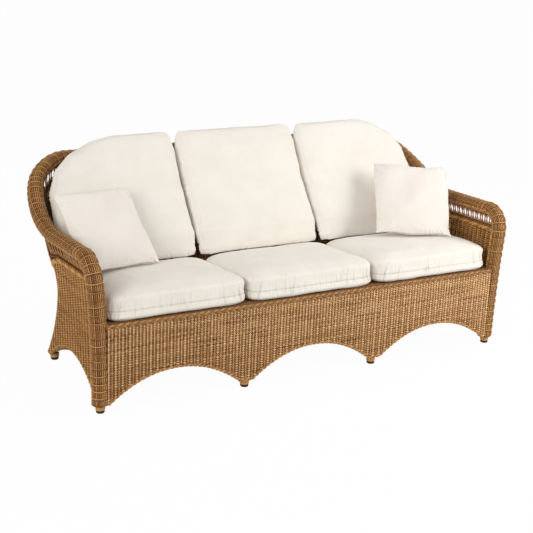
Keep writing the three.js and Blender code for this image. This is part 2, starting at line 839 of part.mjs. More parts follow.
const cushionPitch = 2 * (endLegX - cushionWallClearance) / cushionCount;
const cushionWidth = cushionPitch - cushionGap;
const backCushionPitch = 2 * (endLegX - backCushionWallClearance) / cushionCount;
const backCushionWidth = backCushionPitch - cushionGap;
const cushionFloor = deckTop + seatGap;
const cushionEdge = cushionFloor + cushionEdgeHeight;
const cushionTop = cushionEdge + cushionCrown;
const seatCushionRearY = innerPoint(cornerMiddleShare, waistZ).y - railRadius - cushionBackClearance;
const seatHalfX = cushionWidth / 2;
const seatHalfY = (seatCushionRearY - cushionFrontY) / 2;
const edgeInset = cushionCorner / 3;
const crownReach = Math.min(seatHalfX, seatHalfY) - edgeInset;

// A box cushion: flat below, sides drawn in between its two seams, crowned on top
function seatCushion(centreX) {
  const centreY = (seatCushionRearY + cushionFrontY) / 2;
  const outline = (inset, power) => roundedRing(seatHalfX - inset, seatHalfY - inset, power, cushionRing);
  const ring = (inset, z, power) => outline(inset, power)
    .map(([x, y]) => new THREE.Vector3(centreX + x, centreY + y, z));
  const rings = [
    ring(edgeInset, cushionFloor, squarePower),
    ring(0, cushionFloor + edgeInset, squarePower),
    ring(cushionDrawIn / 2, (cushionFloor + cushionEdge) / 2, squarePower),
    ring(0, cushionEdge - edgeInset, squarePower),
    ring(edgeInset, cushionEdge, squarePower),
  ];
  for (const share of crownShares) {
    const z = cushionEdge + cushionCrown * (1 - (1 - share) ** crownPower);
    const inset = edgeInset + crownReach * share;
    rings.push(ring(inset, z, mix(squarePower, crownSquarePower, share)));
  }
  return onSeat(loft(rings));
}

// How far one end of a back cushion is drawn in at height z, from its rounded shoulder
function shoulderInset(z, width, height) {
  const t = THREE.MathUtils.clamp((z - (backCushionTopZ - height)) / height, 0, 1);
  return width * (1 - (1 - t ** shoulderPower) ** (1 / shoulderPower));
}

// Height of the seat cushions' crown at depth y
function crownZ(y) {
  return railZ - y * Math.tan(seatTilt) + cushionTop / Math.cos(seatTilt);
}

// Height of the seat cushions' top at a place, lower where their crowns fade to the edges
function seatTopZ(x, y) {
  const place = THREE.MathUtils.clamp(Math.round(x / cushionPitch), -1, 1);
  const sideInset = seatHalfX - Math.abs(x - place * cushionPitch);
  const inset = Math.min(sideInset, y - cushionFrontY, seatCushionRearY - y);
  const reach = THREE.MathUtils.clamp((inset - edgeInset) / crownReach, 0, 1);
  return crownZ(y) - cushionCrown * (1 - reach) ** crownPower;
}

const backCushionFrontY = waistY - backCushionWaistDepth;
const backCushionTopFrontY = backY(backRollZ) - backCushionTopDepth;
const backCushionBottomZ = seatTopZ(0, backCushionFrontY + cushionCorner / 2) + backCushionLift;

// A back cushion: flat below where it sits, leaning on the uprights, crowned in front.
// Its underside follows the seat's tilt, and that fades out towards its top.
function backCushion(place, leftEnd, rightEnd) {
  const centreX = backCushionShift + place * backCushionPitch;
  const rings = backCushionShares.map((share) => {
    const z = mix(backCushionBottomZ, backCushionTopZ, share);
    const endInset = cushionCorner / 2 * (1 - smooth(share / lowEdgeShare));
    const half = backCushionWidth / 2 - endInset;
    const left = centreX - half + shoulderInset(z, ...leftEnd);
    const right = centreX + half - shoulderInset(z, ...rightEnd);
    const wallY = backY(Math.min(z, backRollZ)) - backCushionInset;
    const bulge = backCushionBulge * Math.sin(Math.PI * Math.min(share * bulgeShare, 1));
    const faceY = mix(backCushionFrontY, backCushionTopFrontY, share) - bulge + endInset;
    const closing = (wallY - faceY) * crestShare(share);
    const rearY = wallY - closing * (1 - crestBackShare);
    const frontY = faceY + closing * crestBackShare;
    return roundedRing((right - left) / 2, (rearY - frontY) / 2, backCushionPower, cushionRing)
      .map(([x, dy]) => {
        const y = (rearY + frontY) / 2 + dy;
        const rest = seatTopZ(0, y) + backCushionLift - backCushionBottomZ;
        return new THREE.Vector3((left + right) / 2 + x, y, z + rest * (1 - share));
      });
  });
  return loft(rings);
}

// How much of the cushion's depth is rounded off towards its crest
function crestShare(share) {
  const t = THREE.MathUtils.clamp((share - crestStartShare) / (1 - crestStartShare), 0, 1);
  return 1 - Math.sqrt(Math.max(1 - t * t, 0));
}

// One face of a pillow: a square with drawn-in sides, crowned between its four seams
function pillowPoint(direction, i, j) {
  const half = pillowSize / 2;
  const [s, t] = [2 * i / pillowCells - 1, 2 * j / pillowCells - 1];
  const crown = ((1 - s * s) * (1 - t * t)) ** pillowCrownPower;
  return new THREE.Vector3(
    s * (half - pillowDrawIn * (1 - t * t)),
    direction * pillowThickness / 2 * crown,
    t * (half - pillowDrawIn * (1 - s * s)));
}

// A pillow with a knife edge, on its lower edge, leaning back and turned to the middle
function pillow({ side, wallGap, y, lean, turn, roll, lift }) {
  const points = [];
  const triangles = [];
  const wide = pillowCells + 1;
  for (const direction of [-1, 1]) {
    for (let j = 0; j <= pillowCells; j += 1) {
      for (let i = 0; i <= pillowCells; i += 1) {
        const p = pillowPoint(direction, i, j);
        const a = points.push(p) - 1;
        if (i === pillowCells || j === pillowCells) continue;
        const [b, c, d] = [a + 1, a + wide, a + wide + 1];
        triangles.push(...(direction > 0 ? [a, c, b, b, c, d] : [a, b, c, b, d, c]));
      }
    }
  }
  const open = new THREE.BufferGeometry().setFromPoints(points);
  open.setIndex(triangles);
  const body = mergeVertices(open);
  if (signedVolume(body) < 0) flipWinding(body);
  body.translate(0, 0, pillowSize / 2);
  body.rotateY(THREE.MathUtils.degToRad(roll));
  body.rotateX(-THREE.MathUtils.degToRad(lean));
  body.rotateZ(THREE.MathUtils.degToRad(turn));
  body.translate(side * (endLegX - wallGap), y, 0);
  const position = body.getAttribute('position');
  let lowest = Infinity;
  for (let i = 0; i < position.count; i += 1) {
    const [px, py] = [position.getX(i), position.getY(i)];
    lowest = Math.min(lowest, position.getZ(i) - seatTopZ(px, py));
  }
  body.translate(0, 0, lift - lowest);
  return body;
}

function addCushions() {
  addPart('seat_cushion_middle', seatCushion(0), creamFinish);
  addPair('seat_cushion', seatCushion(cushionPitch), creamFinish);
  addPart('back_cushion_left', backCushion(-1, leftShoulder, innerShoulder), creamFinish);
  addPart('back_cushion_middle', backCushion(0, innerShoulder, innerShoulder), creamFinish);
  addPart('back_cushion_right', backCushion(1, innerShoulder, rightShoulder), creamFinish);
  addPart('pillow_left', pillow(leftPillow), pillowFinish);
  addPart('pillow_right', pillow(rightPillow), pillowFinish);
}

addHoop();
addUprights();
addSeatFrame();
addRolls();
addMouldings();
addWalls();
addOpenwork();
addApron();
addDeck();
addFeet();
addCushions();

// The origin is the middle of the base between the front band's face and the back roll's rear
const backRollY = rollPoint(3).y;
sofa.position.y = -(backRollY + rollHalfWidth - rollHalfHeight) / 2;

export default sofa;
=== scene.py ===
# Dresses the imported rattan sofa: woven strands, wrapped rolls, ropes and soft cushions.
# Metres, +Z up, +X to the viewer's right, the front faces -Y.
import math
from collections import namedtuple
import bpy
import numpy as np
from mathutils import Matrix, Vector, noise
from mathutils.bvhtree import BVHTree


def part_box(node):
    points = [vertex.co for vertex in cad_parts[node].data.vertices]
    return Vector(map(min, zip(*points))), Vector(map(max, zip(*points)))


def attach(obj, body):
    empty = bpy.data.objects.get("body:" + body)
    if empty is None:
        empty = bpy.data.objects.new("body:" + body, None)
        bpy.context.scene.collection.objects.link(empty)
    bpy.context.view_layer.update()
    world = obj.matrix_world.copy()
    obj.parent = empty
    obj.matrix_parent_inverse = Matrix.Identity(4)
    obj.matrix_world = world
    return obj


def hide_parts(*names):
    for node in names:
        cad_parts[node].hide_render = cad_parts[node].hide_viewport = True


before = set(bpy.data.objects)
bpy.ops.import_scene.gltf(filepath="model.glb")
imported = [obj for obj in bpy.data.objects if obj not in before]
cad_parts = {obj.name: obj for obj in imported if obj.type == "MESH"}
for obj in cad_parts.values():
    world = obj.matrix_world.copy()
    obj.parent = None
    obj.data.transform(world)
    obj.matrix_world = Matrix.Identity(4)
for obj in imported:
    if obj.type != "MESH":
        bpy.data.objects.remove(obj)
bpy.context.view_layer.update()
scene = bpy.context.scene
maker = np.random.default_rng(7)

# The wall's shape, as in the model's source, in metres from the front legs' line
END_LEG_X = 0.906
MIDDLE_LEG_X = 0.300
FOOT_LINE_Z = 0.032
REAR_FOOT_Y = 0.583
WAIST_Y = 0.487
WAIST_Z = 0.330
RECLINE_DEPTH = 0.320
RECLINE_TOP_Z = 0.772
SPLAY_POWER = 1.9
ARM_FLARE = 0.030
REAR_FLARE = 0.007
FLARE_Z = 0.605
FLARE_REACH_Y = 0.500
FLARE_POWER = 2.2
FLARE_LIMIT_SHARE = 1.15
LOW_CORNER_RADIUS = 0.026
HIGH_CORNER_RADIUS = 0.250
HIGH_CORNER_Z = 0.800
CORNER_POWER = 1.38
ROLL_HALF_WIDTH = 0.0325
ROLL_HALF_HEIGHT = 0.0275
ARM_ROLL_Z = 0.591
ARM_DROP = 0.021
BACK_ROLL_Z = 0.783
RISE_START = 0.439
RISE_LENGTH = 0.449
SHOULDER_RADIUS = 0.088
OPENWORK_TOP = 0.0278
OPENWORK_HEIGHT = 0.042
MOULDING_HALF_HEIGHT = 0.013
SEAM = 0.0003
PROBE_U = 1e-3
PROBE_Z = 0.0003
CORNER_MIDDLE_U = 1.5
FRONT_ARCH_Z = 0.138
BACK_ARCH_Z = 0.075
SIDE_ARCH_Z = 0.139
ARCH_HALF_SPAN = 0.275
SIDE_ARCH_HALF_SPAN = 0.250
FRONT_ARCH_MIDDLE_X = 0.604
SIDE_ARCH_MIDDLE_Y = 0.288
ARCH_POWER = 2.1
SKIN_START_Y = 0.018
DECK_TOP_Z = 0.346
APRON_Y = -0.0198
EDGE_ROLL_RADIUS = 0.008
FOOT_WRAP_TOP_Z = 0.030
FOOT_WRAP_BOTTOM_Z = 0.0085
FOOT_COIL_RADIUS = 0.0158

# Strands: a tone runs from 0, dark, to 1, light
ROW_PITCH = 0.0050
STAKE_PITCH = 0.0140
STEPS_PER_STAKE = 4
ROW_FILL = 0.41
WEAVE_SWING = 0.0034
STRAND_DEPTH = 0.0020
STAKE_RADIUS = 0.0024
DARK_ROW_SHARE = 0.45
# Painted highlight: a strand's tone rises where it bulges over a stake
BULGE_PAINTED_HIGHLIGHT = 0.12
# Painted light: the apron's tone grows lighter towards the right, where the key lamp stands
APRON_PAINTED_LIGHT_SLOPE = 0.10
LINING_TUCK = 0.011
LINING_PROUD = 0.001
APRON_END_INSET = 0.020
APRON_LIGHT = 0.76
APRON_DARK_TOP = 0.70
APRON_DARK_FOOT = 0.34
APRON_STAKE_TONES = (0.70, 1.0)
SIDE_TONES = (0.78, 0.24)
BACK_TONES = (0.74, 0.34)
WALL_STAKE_TONES = (0.5, 0.85)
# Painted shade: the lining's dark tone shows in the gaps between the rows
WALL_LINING_PAINTED_SHADE = 0.05
PANEL_LAP = 0.004
ROW_TONES = (-0.10, 0.08)
WANDER_RATES = (7.1, 17.3)
DARK_STRETCH = 0.26
TONE_WANDER = 0.12
# Painted shade, with some dirt: a strand's tone falls where it dives between stakes
APRON_CROSSING_SHADE_AND_DIRT = 0.36
WALL_CROSSING_SHADE_AND_DIRT = 0.14
ROLL_STEP = 0.0040
RING_PITCH = 0.0300
RING_DRAW = 0.0042
STRAND_SWING = 0.0005
WRAP_PITCH = 0.0058
CAP_STRANDS = 31
LENS_PITCH = 0.0160
LENS_HEIGHT = 0.0240
EDGE_TURN = 0.0300
EDGE_STRAND_REACH = 0.0050

# The camera, fitted to the photo
CAMERA_YAW = math.radians(-30.04)
CAMERA_PITCH = math.radians(17.73)
CAMERA_ROLL = math.radians(2.516)
CAMERA_LENS = 80.53
SENSOR_WIDTH = 36
CAMERA_PLACE = (-2.4154, -3.7925, 1.8865)


def unit(vectors):
    return vectors / np.maximum(np.linalg.norm(vectors, axis=-1, keepdims=True), 1e-9)


def smooth(t):
    t = np.clip(t, 0, 1)
    return t * t * (3 - 2 * t)


def mix(a, b, t):
    return a + (b - a) * t


# The wall and the lines on it

def back_y(z):
    drop = (WAIST_Z - np.maximum(z, FOOT_LINE_Z)) / (WAIST_Z - FOOT_LINE_Z)
    low = WAIST_Y + (REAR_FOOT_Y - WAIST_Y) * np.clip(drop, 0, 1) ** SPLAY_POWER
    high = WAIST_Y + RECLINE_DEPTH * smooth((z - WAIST_Z) / (RECLINE_TOP_Z - WAIST_Z))
    return np.where(z < WAIST_Z, low, high)


def side_x(y, z):
    t = np.clip(z / FLARE_Z, 0, FLARE_LIMIT_SHARE)
    return END_LEG_X + (ARM_FLARE + REAR_FLARE * y / FLARE_REACH_Y) * t ** FLARE_POWER


def corner_radius(z):
    share = np.maximum(z, 0) / HIGH_CORNER_Z
    return LOW_CORNER_RADIUS + (HIGH_CORNER_RADIUS - LOW_CORNER_RADIUS) * share ** CORNER_POWER


def wall_point(u, z):
    """A point of the right wall: u is 0 at the front leg, 1 to 2 round the corner, 3 at the centre."""
    u, z = np.broadcast_arrays(np.asarray(u, float), np.asarray(z, float))
    radius = corner_radius(z)
    corner_y = back_y(z) - radius
    side_line = side_x(corner_y, z)
    angle = np.clip(u - 1, 0, 1) * math.pi / 2
    x = np.where(u <= 1, side_x(u * corner_y, z), side_line - radius * (1 - np.cos(angle)))
    x = np.where(u > 2, (side_line - radius) * (3 - u), x)
    y = np.where(u <= 1, u * corner_y, corner_y + radius * np.sin(angle))
    y = np.where(u > 2, back_y(z), y)
    return np.stack([x, y, z], -1)


SIDE_RUN = back_y(FLARE_Z) - corner_radius(FLARE_Z)
CORNER_RUN = corner_radius(BACK_ROLL_Z) * math.pi / 2
BACK_RUN = side_x(SIDE_RUN, BACK_ROLL_Z) - corner_radius(BACK_ROLL_Z)


def roll_z(u):
    travel = np.minimum(u, 1) * SIDE_RUN + np.clip(u - 1, 0, 1) * CORNER_RUN
    travel = travel + np.maximum(u - 2, 0) * BACK_RUN
    arm = ARM_ROLL_Z - ARM_DROP * np.minimum(travel / SIDE_RUN, 1)
    return mix(arm, BACK_ROLL_Z, smooth((travel - RISE_START) / RISE_LENGTH))


def wall_frame(u, z):
    """The wall's outward direction, and how far a line drops in z per metre on the wall."""
    low = np.maximum(u - PROBE_U, 0)
    high = np.minimum(u + PROBE_U, 3)
    ahead = wall_point(high, z + roll_z(high) - roll_z(u))
    along = unit(ahead - wall_point(low, z + roll_z(low) - roll_z(u)))
    up = (wall_point(u, z + PROBE_Z) - wall_point(u, z - PROBE_Z)) / (2 * PROBE_Z)
    out = np.cross(along, up)
    return unit(out), 1 / np.linalg.norm(out, axis=-1)


def line_z(u, distance):
    middle = roll_z(u) - (OPENWORK_TOP + OPENWORK_HEIGHT / 2)
    return roll_z(u) - distance * wall_frame(u, middle)[1]


MOULDING_DISTANCE = OPENWORK_TOP + OPENWORK_HEIGHT + SEAM + MOULDING_HALF_HEIGHT
PANEL_TOP = MOULDING_DISTANCE + MOULDING_HALF_HEIGHT
BACK_ROLL_Y = float(back_y(BACK_ROLL_Z - ROLL_HALF_HEIGHT))
BASE_SHIFT = -(BACK_ROLL_Y + ROLL_HALF_WIDTH - ROLL_HALF_HEIGHT) / 2


def arch_share(t):
    return np.maximum(0, 1 - np.abs(t) ** ARCH_POWER)


def front_hem(x):
    x = np.abs(x)
    bay = np.where(x > MIDDLE_LEG_X, x - FRONT_ARCH_MIDDLE_X, x)
    return FOOT_LINE_Z + (FRONT_ARCH_Z - FOOT_LINE_Z) * arch_share(bay / ARCH_HALF_SPAN)


def wall_hem(u, point):
    """Height of the hem below a point of the right wall."""
    rise = arch_share((point[..., 1] - SIDE_ARCH_MIDDLE_Y) / SIDE_ARCH_HALF_SPAN)
    side = FOOT_LINE_Z + (SIDE_ARCH_Z - FOOT_LINE_Z) * rise
    x = point[..., 0]
    outer = (x - MIDDLE_LEG_X - ARCH_HALF_SPAN) / ARCH_HALF_SPAN
    share = arch_share(np.where(x > MIDDLE_LEG_X, outer, x / MIDDLE_LEG_X))
    back = FOOT_LINE_Z + (BACK_ARCH_Z - FOOT_LINE_Z) * share
    return np.where(u < 1, side, np.where(u > 2, back, FOOT_LINE_Z))


def lengths(path):
    steps = np.linalg.norm(np.diff(path, axis=0), axis=1)
    return np.concatenate([[0], np.cumsum(steps)])


def resample(path, step, *others):
    """The path, and arrays that go with it, at even steps."""
    run = lengths(path)
    count = max(int(round(run[-1] / step)), 1)
    even = np.linspace(0, run[-1], count + 1)

    def take(values):
        return np.stack([np.interp(even, run, values[:, i]) for i in range(values.shape[1])], -1)

    return [even, take(path), *[take(values) for values in others]]


# Strands gathered into meshes

class Bundle:
    """Tubes of quads in one mesh. Each strand has a tone from 0, dark, to 1, light."""

    def __init__(self):
        self.points = []
        self.quads = []
        self.tones = []
        self.count = 0

    def add(self, path, out, half_width, half_depth, tone, sides=4):
        along = unit(np.gradient(path, axis=0))
        side = unit(np.cross(along, out))
        up = np.cross(side, along)
        angles = (np.arange(sides) + 0.5) / sides * 2 * math.pi
        reach = 1 / math.cos(math.pi / sides)
        wide = np.broadcast_to(half_width, len(path))[:, None, None]
        ring = side[:, None] * np.cos(angles)[None, :, None] * wide
        ring = ring + up[:, None] * np.sin(angles)[None, :, None] * half_depth
        points = (path[:, None] + ring * reach).reshape(-1, 3)
        place = np.arange(len(path) * sides).reshape(len(path), sides)
        after = np.roll(place, -1, axis=1)
        quads = np.stack([place[:-1], after[:-1], after[1:], place[1:]], -1).reshape(-1, 4)
        self.store(points, quads[:, ::-1], tone)
        self.cap(place[0], sides, False)
        self.cap(place[-1], sides, True)
        self.count += len(points)

    def cap(self, ring, sides, last):
        start = self.count
        for i in range(1, sides - 2, 2):
            quad = np.array([[ring[0], ring[i], ring[i + 1], ring[i + 2]]])
            self.quads.append((quad[:, ::-1] if last else quad) + start)

    def sheet(self, grid, tone):
        """A grid of points as a plain lining."""
        rows, columns = grid.shape[:2]
        place = np.arange(rows * columns).reshape(rows, columns)
        quads = np.stack([place[:-1, :-1], place[:-1, 1:], place[1:, 1:], place[1:, :-1]], -1)
        self.store(grid.reshape(-1, 3), quads.reshape(-1, 4), tone)
        self.count += rows * columns

    def store(self, points, quads, tone):
        self.points.append(points)
        self.quads.append(quads + self.count)
        self.tones.append(np.broadcast_to(tone, len(points)))

    def piece(self, name, material, slot, nodes=(), mirrored=False):
        points = np.concatenate(self.points)
        points[:, 1] += BASE_SHIFT
        quads = np.concatenate(self.quads)
        if mirrored:
            points[:, 0] *= -1
            quads = quads[:, ::-1]
        made = mesh_piece(name, points, quads, material, np.concatenate(self.tones))
        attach(made, "sofa_frame")
        if nodes:
            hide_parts(*nodes)
        return made


def add_object(name, data):
    made = bpy.data.objects.new(name, data)
    scene.collection.objects.link(made)
    return made


def mesh_piece(name, points, quads, material, tones=None):
    mesh = bpy.data.meshes.new(name)
    mesh.vertices.add(len(points))
    mesh.vertices.foreach_set("co", np.ascontiguousarray(points, np.float32).ravel())
    mesh.loops.add(quads.size)
    mesh.loops.foreach_set("vertex_index", np.ascontiguousarray(quads, np.int32).ravel())
    mesh.polygons.add(len(quads))
    mesh.polygons.foreach_set("loop_start", np.arange(0, quads.size, 4, dtype=np.int32))
    mesh.update(calc_edges=True)
    mesh.shade_smooth()
    if tones is not None:
        tone = mesh.attributes.new("tone", "FLOAT", "POINT")
        tone.data.foreach_set("value", np.ascontiguousarray(tones, np.float32))
    mesh.materials.append(material)
    return add_object(name, mesh)


def each_side(bundle, name, material, slot, nodes=(), shared=()):
    """The bundle on the right, and its mirror image on the left. The right one takes shared nodes."""
    for side, mirrored in (("right", False), ("left", True)):
        stood_for = [f"{node}_{side}" for node in nodes]
        if not mirrored:
            stood_for += shared
        bundle.piece(f"{name}_{side}", material, slot, stood_for, mirrored)


# Materials

def tree_of(name):
    material = bpy.data.materials.new(name)
    material.use_nodes = True
    nodes = material.node_tree.nodes
    return material, nodes, material.node_tree.links, nodes["Principled BSDF"]


def put(node, **values):
    """Sets a node's inputs by their names, with _ for each space."""
    for name, value in values.items():
        node.inputs[name.replace("_", " ")].default_value = value


def own_place(nodes):
    return nodes.new("ShaderNodeTexCoord").outputs["Object"]


def noise_node(nodes, links, vector, scale, detail=3.0, roughness=0.5):
    made = nodes.new("ShaderNodeTexNoise")
    put(made, Scale=scale, Detail=detail, Roughness=roughness)
    links.new(vector, made.inputs["Vector"])
    return made


def ramp_node(nodes, links, value, stops):
    made = nodes.new("ShaderNodeValToRGB")
    elements = made.color_ramp.elements
    for place, _ in stops[1:-1]:
        elements.new(place)
    for element, (place, colour) in zip(elements, stops):
        element.position = place
        element.color = (*colour, 1)
    links.new(value, made.inputs["Fac"])
    return made


def add_bump(nodes, links, shader, height, strength, distance):
    bump = nodes.new("ShaderNodeBump")
    put(bump, Strength=strength, Distance=distance)
    links.new(height, bump.inputs["Height"])
    links.new(bump.outputs["Normal"], shader.inputs["Normal"])


PATCH_SPREAD = 0.35
PAINT_WEAR = 0.08
THREAD_SCALE = 320


def strand_material(name, dark, middle, light, roughness=0.5):
    """Colour from each strand's tone, with patches and fine grain."""
    material, nodes, links, shader = tree_of(name)
    tone = nodes.new("ShaderNodeAttribute")
    tone.attribute_name = "tone"
    place = own_place(nodes)
    patches = noise_node(nodes, links, place, 60, 4)
    grain = noise_node(nodes, links, place, 700, 2)
    wander = nodes.new("ShaderNodeMath")
    wander.operation = "MULTIPLY_ADD"
    links.new(patches.outputs["Fac"], wander.inputs[0])
    wander.inputs[1].default_value = PATCH_SPREAD
    wander.inputs[2].default_value = -PATCH_SPREAD / 2
    total = nodes.new("ShaderNodeMath")
    total.operation = "ADD"
    total.use_clamp = True
    links.new(tone.outputs["Fac"], total.inputs[0])
    links.new(wander.outputs[0], total.inputs[1])
    ramp = ramp_node(nodes, links, total.outputs[0], [(0.0, dark), (0.5, middle), (1.0, light)])
    links.new(ramp.outputs["Color"], shader.inputs["Base Color"])
    add_bump(nodes, links, shader, grain.outputs["Fac"], 0.25, 0.0004)
    put(shader, Roughness=roughness, Specular_IOR_Level=0.35)
    return material


def plain_material(name, colour, roughness, metallic=0.0):
    """A painted or moulded surface with faint mottling."""
    material, nodes, links, shader = tree_of(name)
    place = own_place(nodes)
    mottle = noise_node(nodes, links, place, 90, 5)
    dark = [c * (1 - PAINT_WEAR) for c in colour]
    light = [min(c * (1 + PAINT_WEAR), 1) for c in colour]
    ramp = ramp_node(nodes, links, mottle.outputs["Fac"], [(0.3, dark), (0.7, light)])
    links.new(ramp.outputs["Color"], shader.inputs["Base Color"])
    add_bump(nodes, links, shader, mottle.outputs["Fac"], 0.15, 0.0003)
    put(shader, Roughness=roughness, Metallic=metallic)
    return material


def thread_height(nodes, links, place):
    """Two crossed waves of threads, whichever is higher."""
    weave = nodes.new("ShaderNodeMath")
    weave.operation = "MAXIMUM"
    for direction, socket in zip(("X", "Z"), weave.inputs):
        wave = nodes.new("ShaderNodeTexWave")
        wave.bands_direction = direction
        put(wave, Scale=THREAD_SCALE, Distortion=0.6)
        links.new(place, wave.inputs["Vector"])
        links.new(wave.outputs["Fac"], socket)
    return weave.outputs[0]


def fabric_material(name, colour, shade, seam_thread_and_shade_share):
    """Plain woven cloth: threads as bump, soft patches in the colour, darker at the seam, both as its
    thread line and as painted shade in the seam's groove.
    """
    material, nodes, links, shader = tree_of(name)
    place = own_place(nodes)
    patches = noise_node(nodes, links, place, 9, 4, 0.6)
    ramp = ramp_node(nodes, links, patches.outputs["Fac"], [(0.3, shade), (0.62, colour)])
    seam = nodes.new("ShaderNodeAttribute")
    seam.attribute_name = "tone"
    seam_thread_and_shade = nodes.new("ShaderNodeMix")
    seam_thread_and_shade.data_type = "RGBA"
    # The seam's colour is both the thread line and painted shade in the groove
    seam_thread_and_shade.inputs["B"].default_value = (*[c * seam_thread_and_shade_share for c in shade], 1)
    links.new(seam.outputs["Fac"], seam_thread_and_shade.inputs["Factor"])
    links.new(ramp.outputs["Color"], seam_thread_and_shade.inputs["A"])
    links.new(seam_thread_and_shade.outputs["Result"], shader.inputs["Base Color"])
    add_bump(nodes, links, shader, thread_height(nodes, links, place), 0.12, 0.0004)
    put(shader, Roughness=0.92, Specular_IOR_Level=0.15, Sheen_Weight=0.12, Sheen_Roughness=0.5)
    return material


apron_cane = strand_material(
    "apron_cane", (0.075, 0.020, 0.007), (0.41, 0.200, 0.062), (0.84, 0.56, 0.29))
wall_cane = strand_material(
    "wall_cane", (0.060, 0.020, 0.007), (0.37, 0.168, 0.044), (0.76, 0.42, 0.14))
roll_cane = strand_material(
    "roll_cane", (0.045, 0.011, 0.005), (0.28, 0.108, 0.026), (0.80, 0.45, 0.135))
honey_cane = strand_material(
    "honey_cane", (0.12, 0.042, 0.012), (0.42, 0.195, 0.052), (0.68, 0.38, 0.125), 0.42)
frame_paint = plain_material("frame_paint", (0.075, 0.052, 0.038), 0.45, 0.3)
glide_rubber = plain_material("glide_rubber", (0.012, 0.010, 0.009), 0.6)
cushion_cloth = fabric_material("cushion_cloth", (0.87, 0.83, 0.77), (0.835, 0.79, 0.725), 0.82)
pillow_cloth = fabric_material("pillow_cloth", (0.88, 0.83, 0.775), (0.85, 0.795, 0.735), 0.70)


# Woven skins

def runs_of(inside):
    """Start and end of each unbroken run of true values that has at least two points."""
    edges = np.flatnonzero(np.diff(np.concatenate([[0], inside.astype(int), [0]])))
    return [(a, b) for a, b in zip(edges[::2], edges[1::2]) if b - a > 1]


def woven_row(bundle, path, out, phase, inside, half_width, tone, crossing_shade_and_dirt):
    """One strand across the stakes: in front of one, behind the next, with a painted highlight where it
    bulges over a stake and painted shade, with some dirt, where it crosses between them.
    """
    wave = np.cos(math.pi * phase)
    swung = path + out * wave[:, None] * WEAVE_SWING
    # Painted highlight on each bulge, and painted shade with some dirt where the strand dives
    tone = tone + BULGE_PAINTED_HIGHLIGHT * np.abs(wave) - crossing_shade_and_dirt * (1 - np.abs(wave))
    for start, end in runs_of(inside):
        part = slice(start, end)
        bundle.add(swung[part], out[part], half_width[part], STRAND_DEPTH, np.repeat(tone[part], 4))


def row_tone(row, run, light, dark):
    """A row's tone along its length: it wanders, and some rows turn dark for a stretch."""
    tone = (light if row % 2 else dark) + maker.uniform(*ROW_TONES)
    first, second = maker.uniform(0, 2 * math.pi, 2)
    slow, fast = WANDER_RATES
    wander = np.sin(run * slow + first) * np.sin(run * fast + second)
    if maker.random() < DARK_ROW_SHARE:
        return tone - DARK_STRETCH * np.clip(2 * wander, 0, 1)
    return tone + TONE_WANDER * wander


def facing_front(count):
    return np.tile([0.0, -1.0, 0.0], (count, 1))


def front_points(x, z, y=APRON_Y):
    return np.stack(np.broadcast_arrays(x, y, z), -1)


def apron_rows(end, top):
    """Rows of even number, darker towards the foot, in one bundle and the others in another."""
    x = np.arange(-end, end, STAKE_PITCH / STEPS_PER_STAKE)
    out = facing_front(len(x))
    bundles = [Bundle(), Bundle()]
    rows = int((top - FOOT_LINE_Z) / ROW_PITCH)
    for row in range(rows):
        z = top - (row + 0.5) * ROW_PITCH
        path = front_points(x, z)
        wide = np.full_like(x, ROW_PITCH * ROW_FILL)
        inside = z > front_hem(x) + ROW_PITCH / 2
        dark = mix(APRON_DARK_TOP, APRON_DARK_FOOT, row / rows)
        # Painted light: the tone climbs from left to right across the apron
        tone = row_tone(row, x, APRON_LIGHT, dark) + APRON_PAINTED_LIGHT_SLOPE * x / end
        phase = x / STAKE_PITCH + row
        woven_row(bundles[row % 2], path, out, phase, inside, wide, tone, APRON_CROSSING_SHADE_AND_DIRT)
    return bundles


def apron_stakes(end, top):
    """A dark lining that paints the shade in the gaps between the rows, and the upright stakes that
    stand partly out of it.
    """
    stakes = Bundle()
    share = np.linspace(0, 1, 5)[:, None]
    reach = np.linspace(-(END_LEG_X - LINING_TUCK), END_LEG_X - LINING_TUCK, 500)
    height = mix(front_hem(reach), top, share)
    # The lining's tone of 0 is painted shade, seen in the gaps between the rows
    stakes.sheet(front_points(reach, height, APRON_Y - LINING_PROUD), 0.0)
    for stake in np.arange(-int(end / STAKE_PITCH), int(end / STAKE_PITCH) + 1) * STAKE_PITCH:
        z = np.linspace(float(front_hem(stake)), top, 3)
        tone = maker.uniform(*APRON_STAKE_TONES)
        stakes.add(front_points(stake, z), facing_front(3), STAKE_RADIUS, STAKE_RADIUS, tone)
    return stakes


def add_apron():
    end = END_LEG_X - APRON_END_INSET
    top = DECK_TOP_Z - 2 * EDGE_ROLL_RADIUS
    dark, light = apron_rows(end, top)
    stakes = apron_stakes(end, top)
    dark.piece("apron_dark_rows", apron_cane, "weave", ["front_apron"])
    light.piece("apron_light_rows", apron_cane, "weave")
    stakes.piece("apron_stakes", apron_cane, "weave")


def wall_rows(spacing_u):
    """Heights of the rows of a skin, an even distance apart on the wall at u."""
    z = np.linspace(FOOT_LINE_Z, BACK_ROLL_Z, 400)
    run = lengths(wall_point(np.full_like(z, spacing_u), z))
    return np.interp(np.arange(0, run[-1], ROW_PITCH), run, z)


def skin_start(z):
    return SKIN_START_Y / (back_y(z) - corner_radius(z))


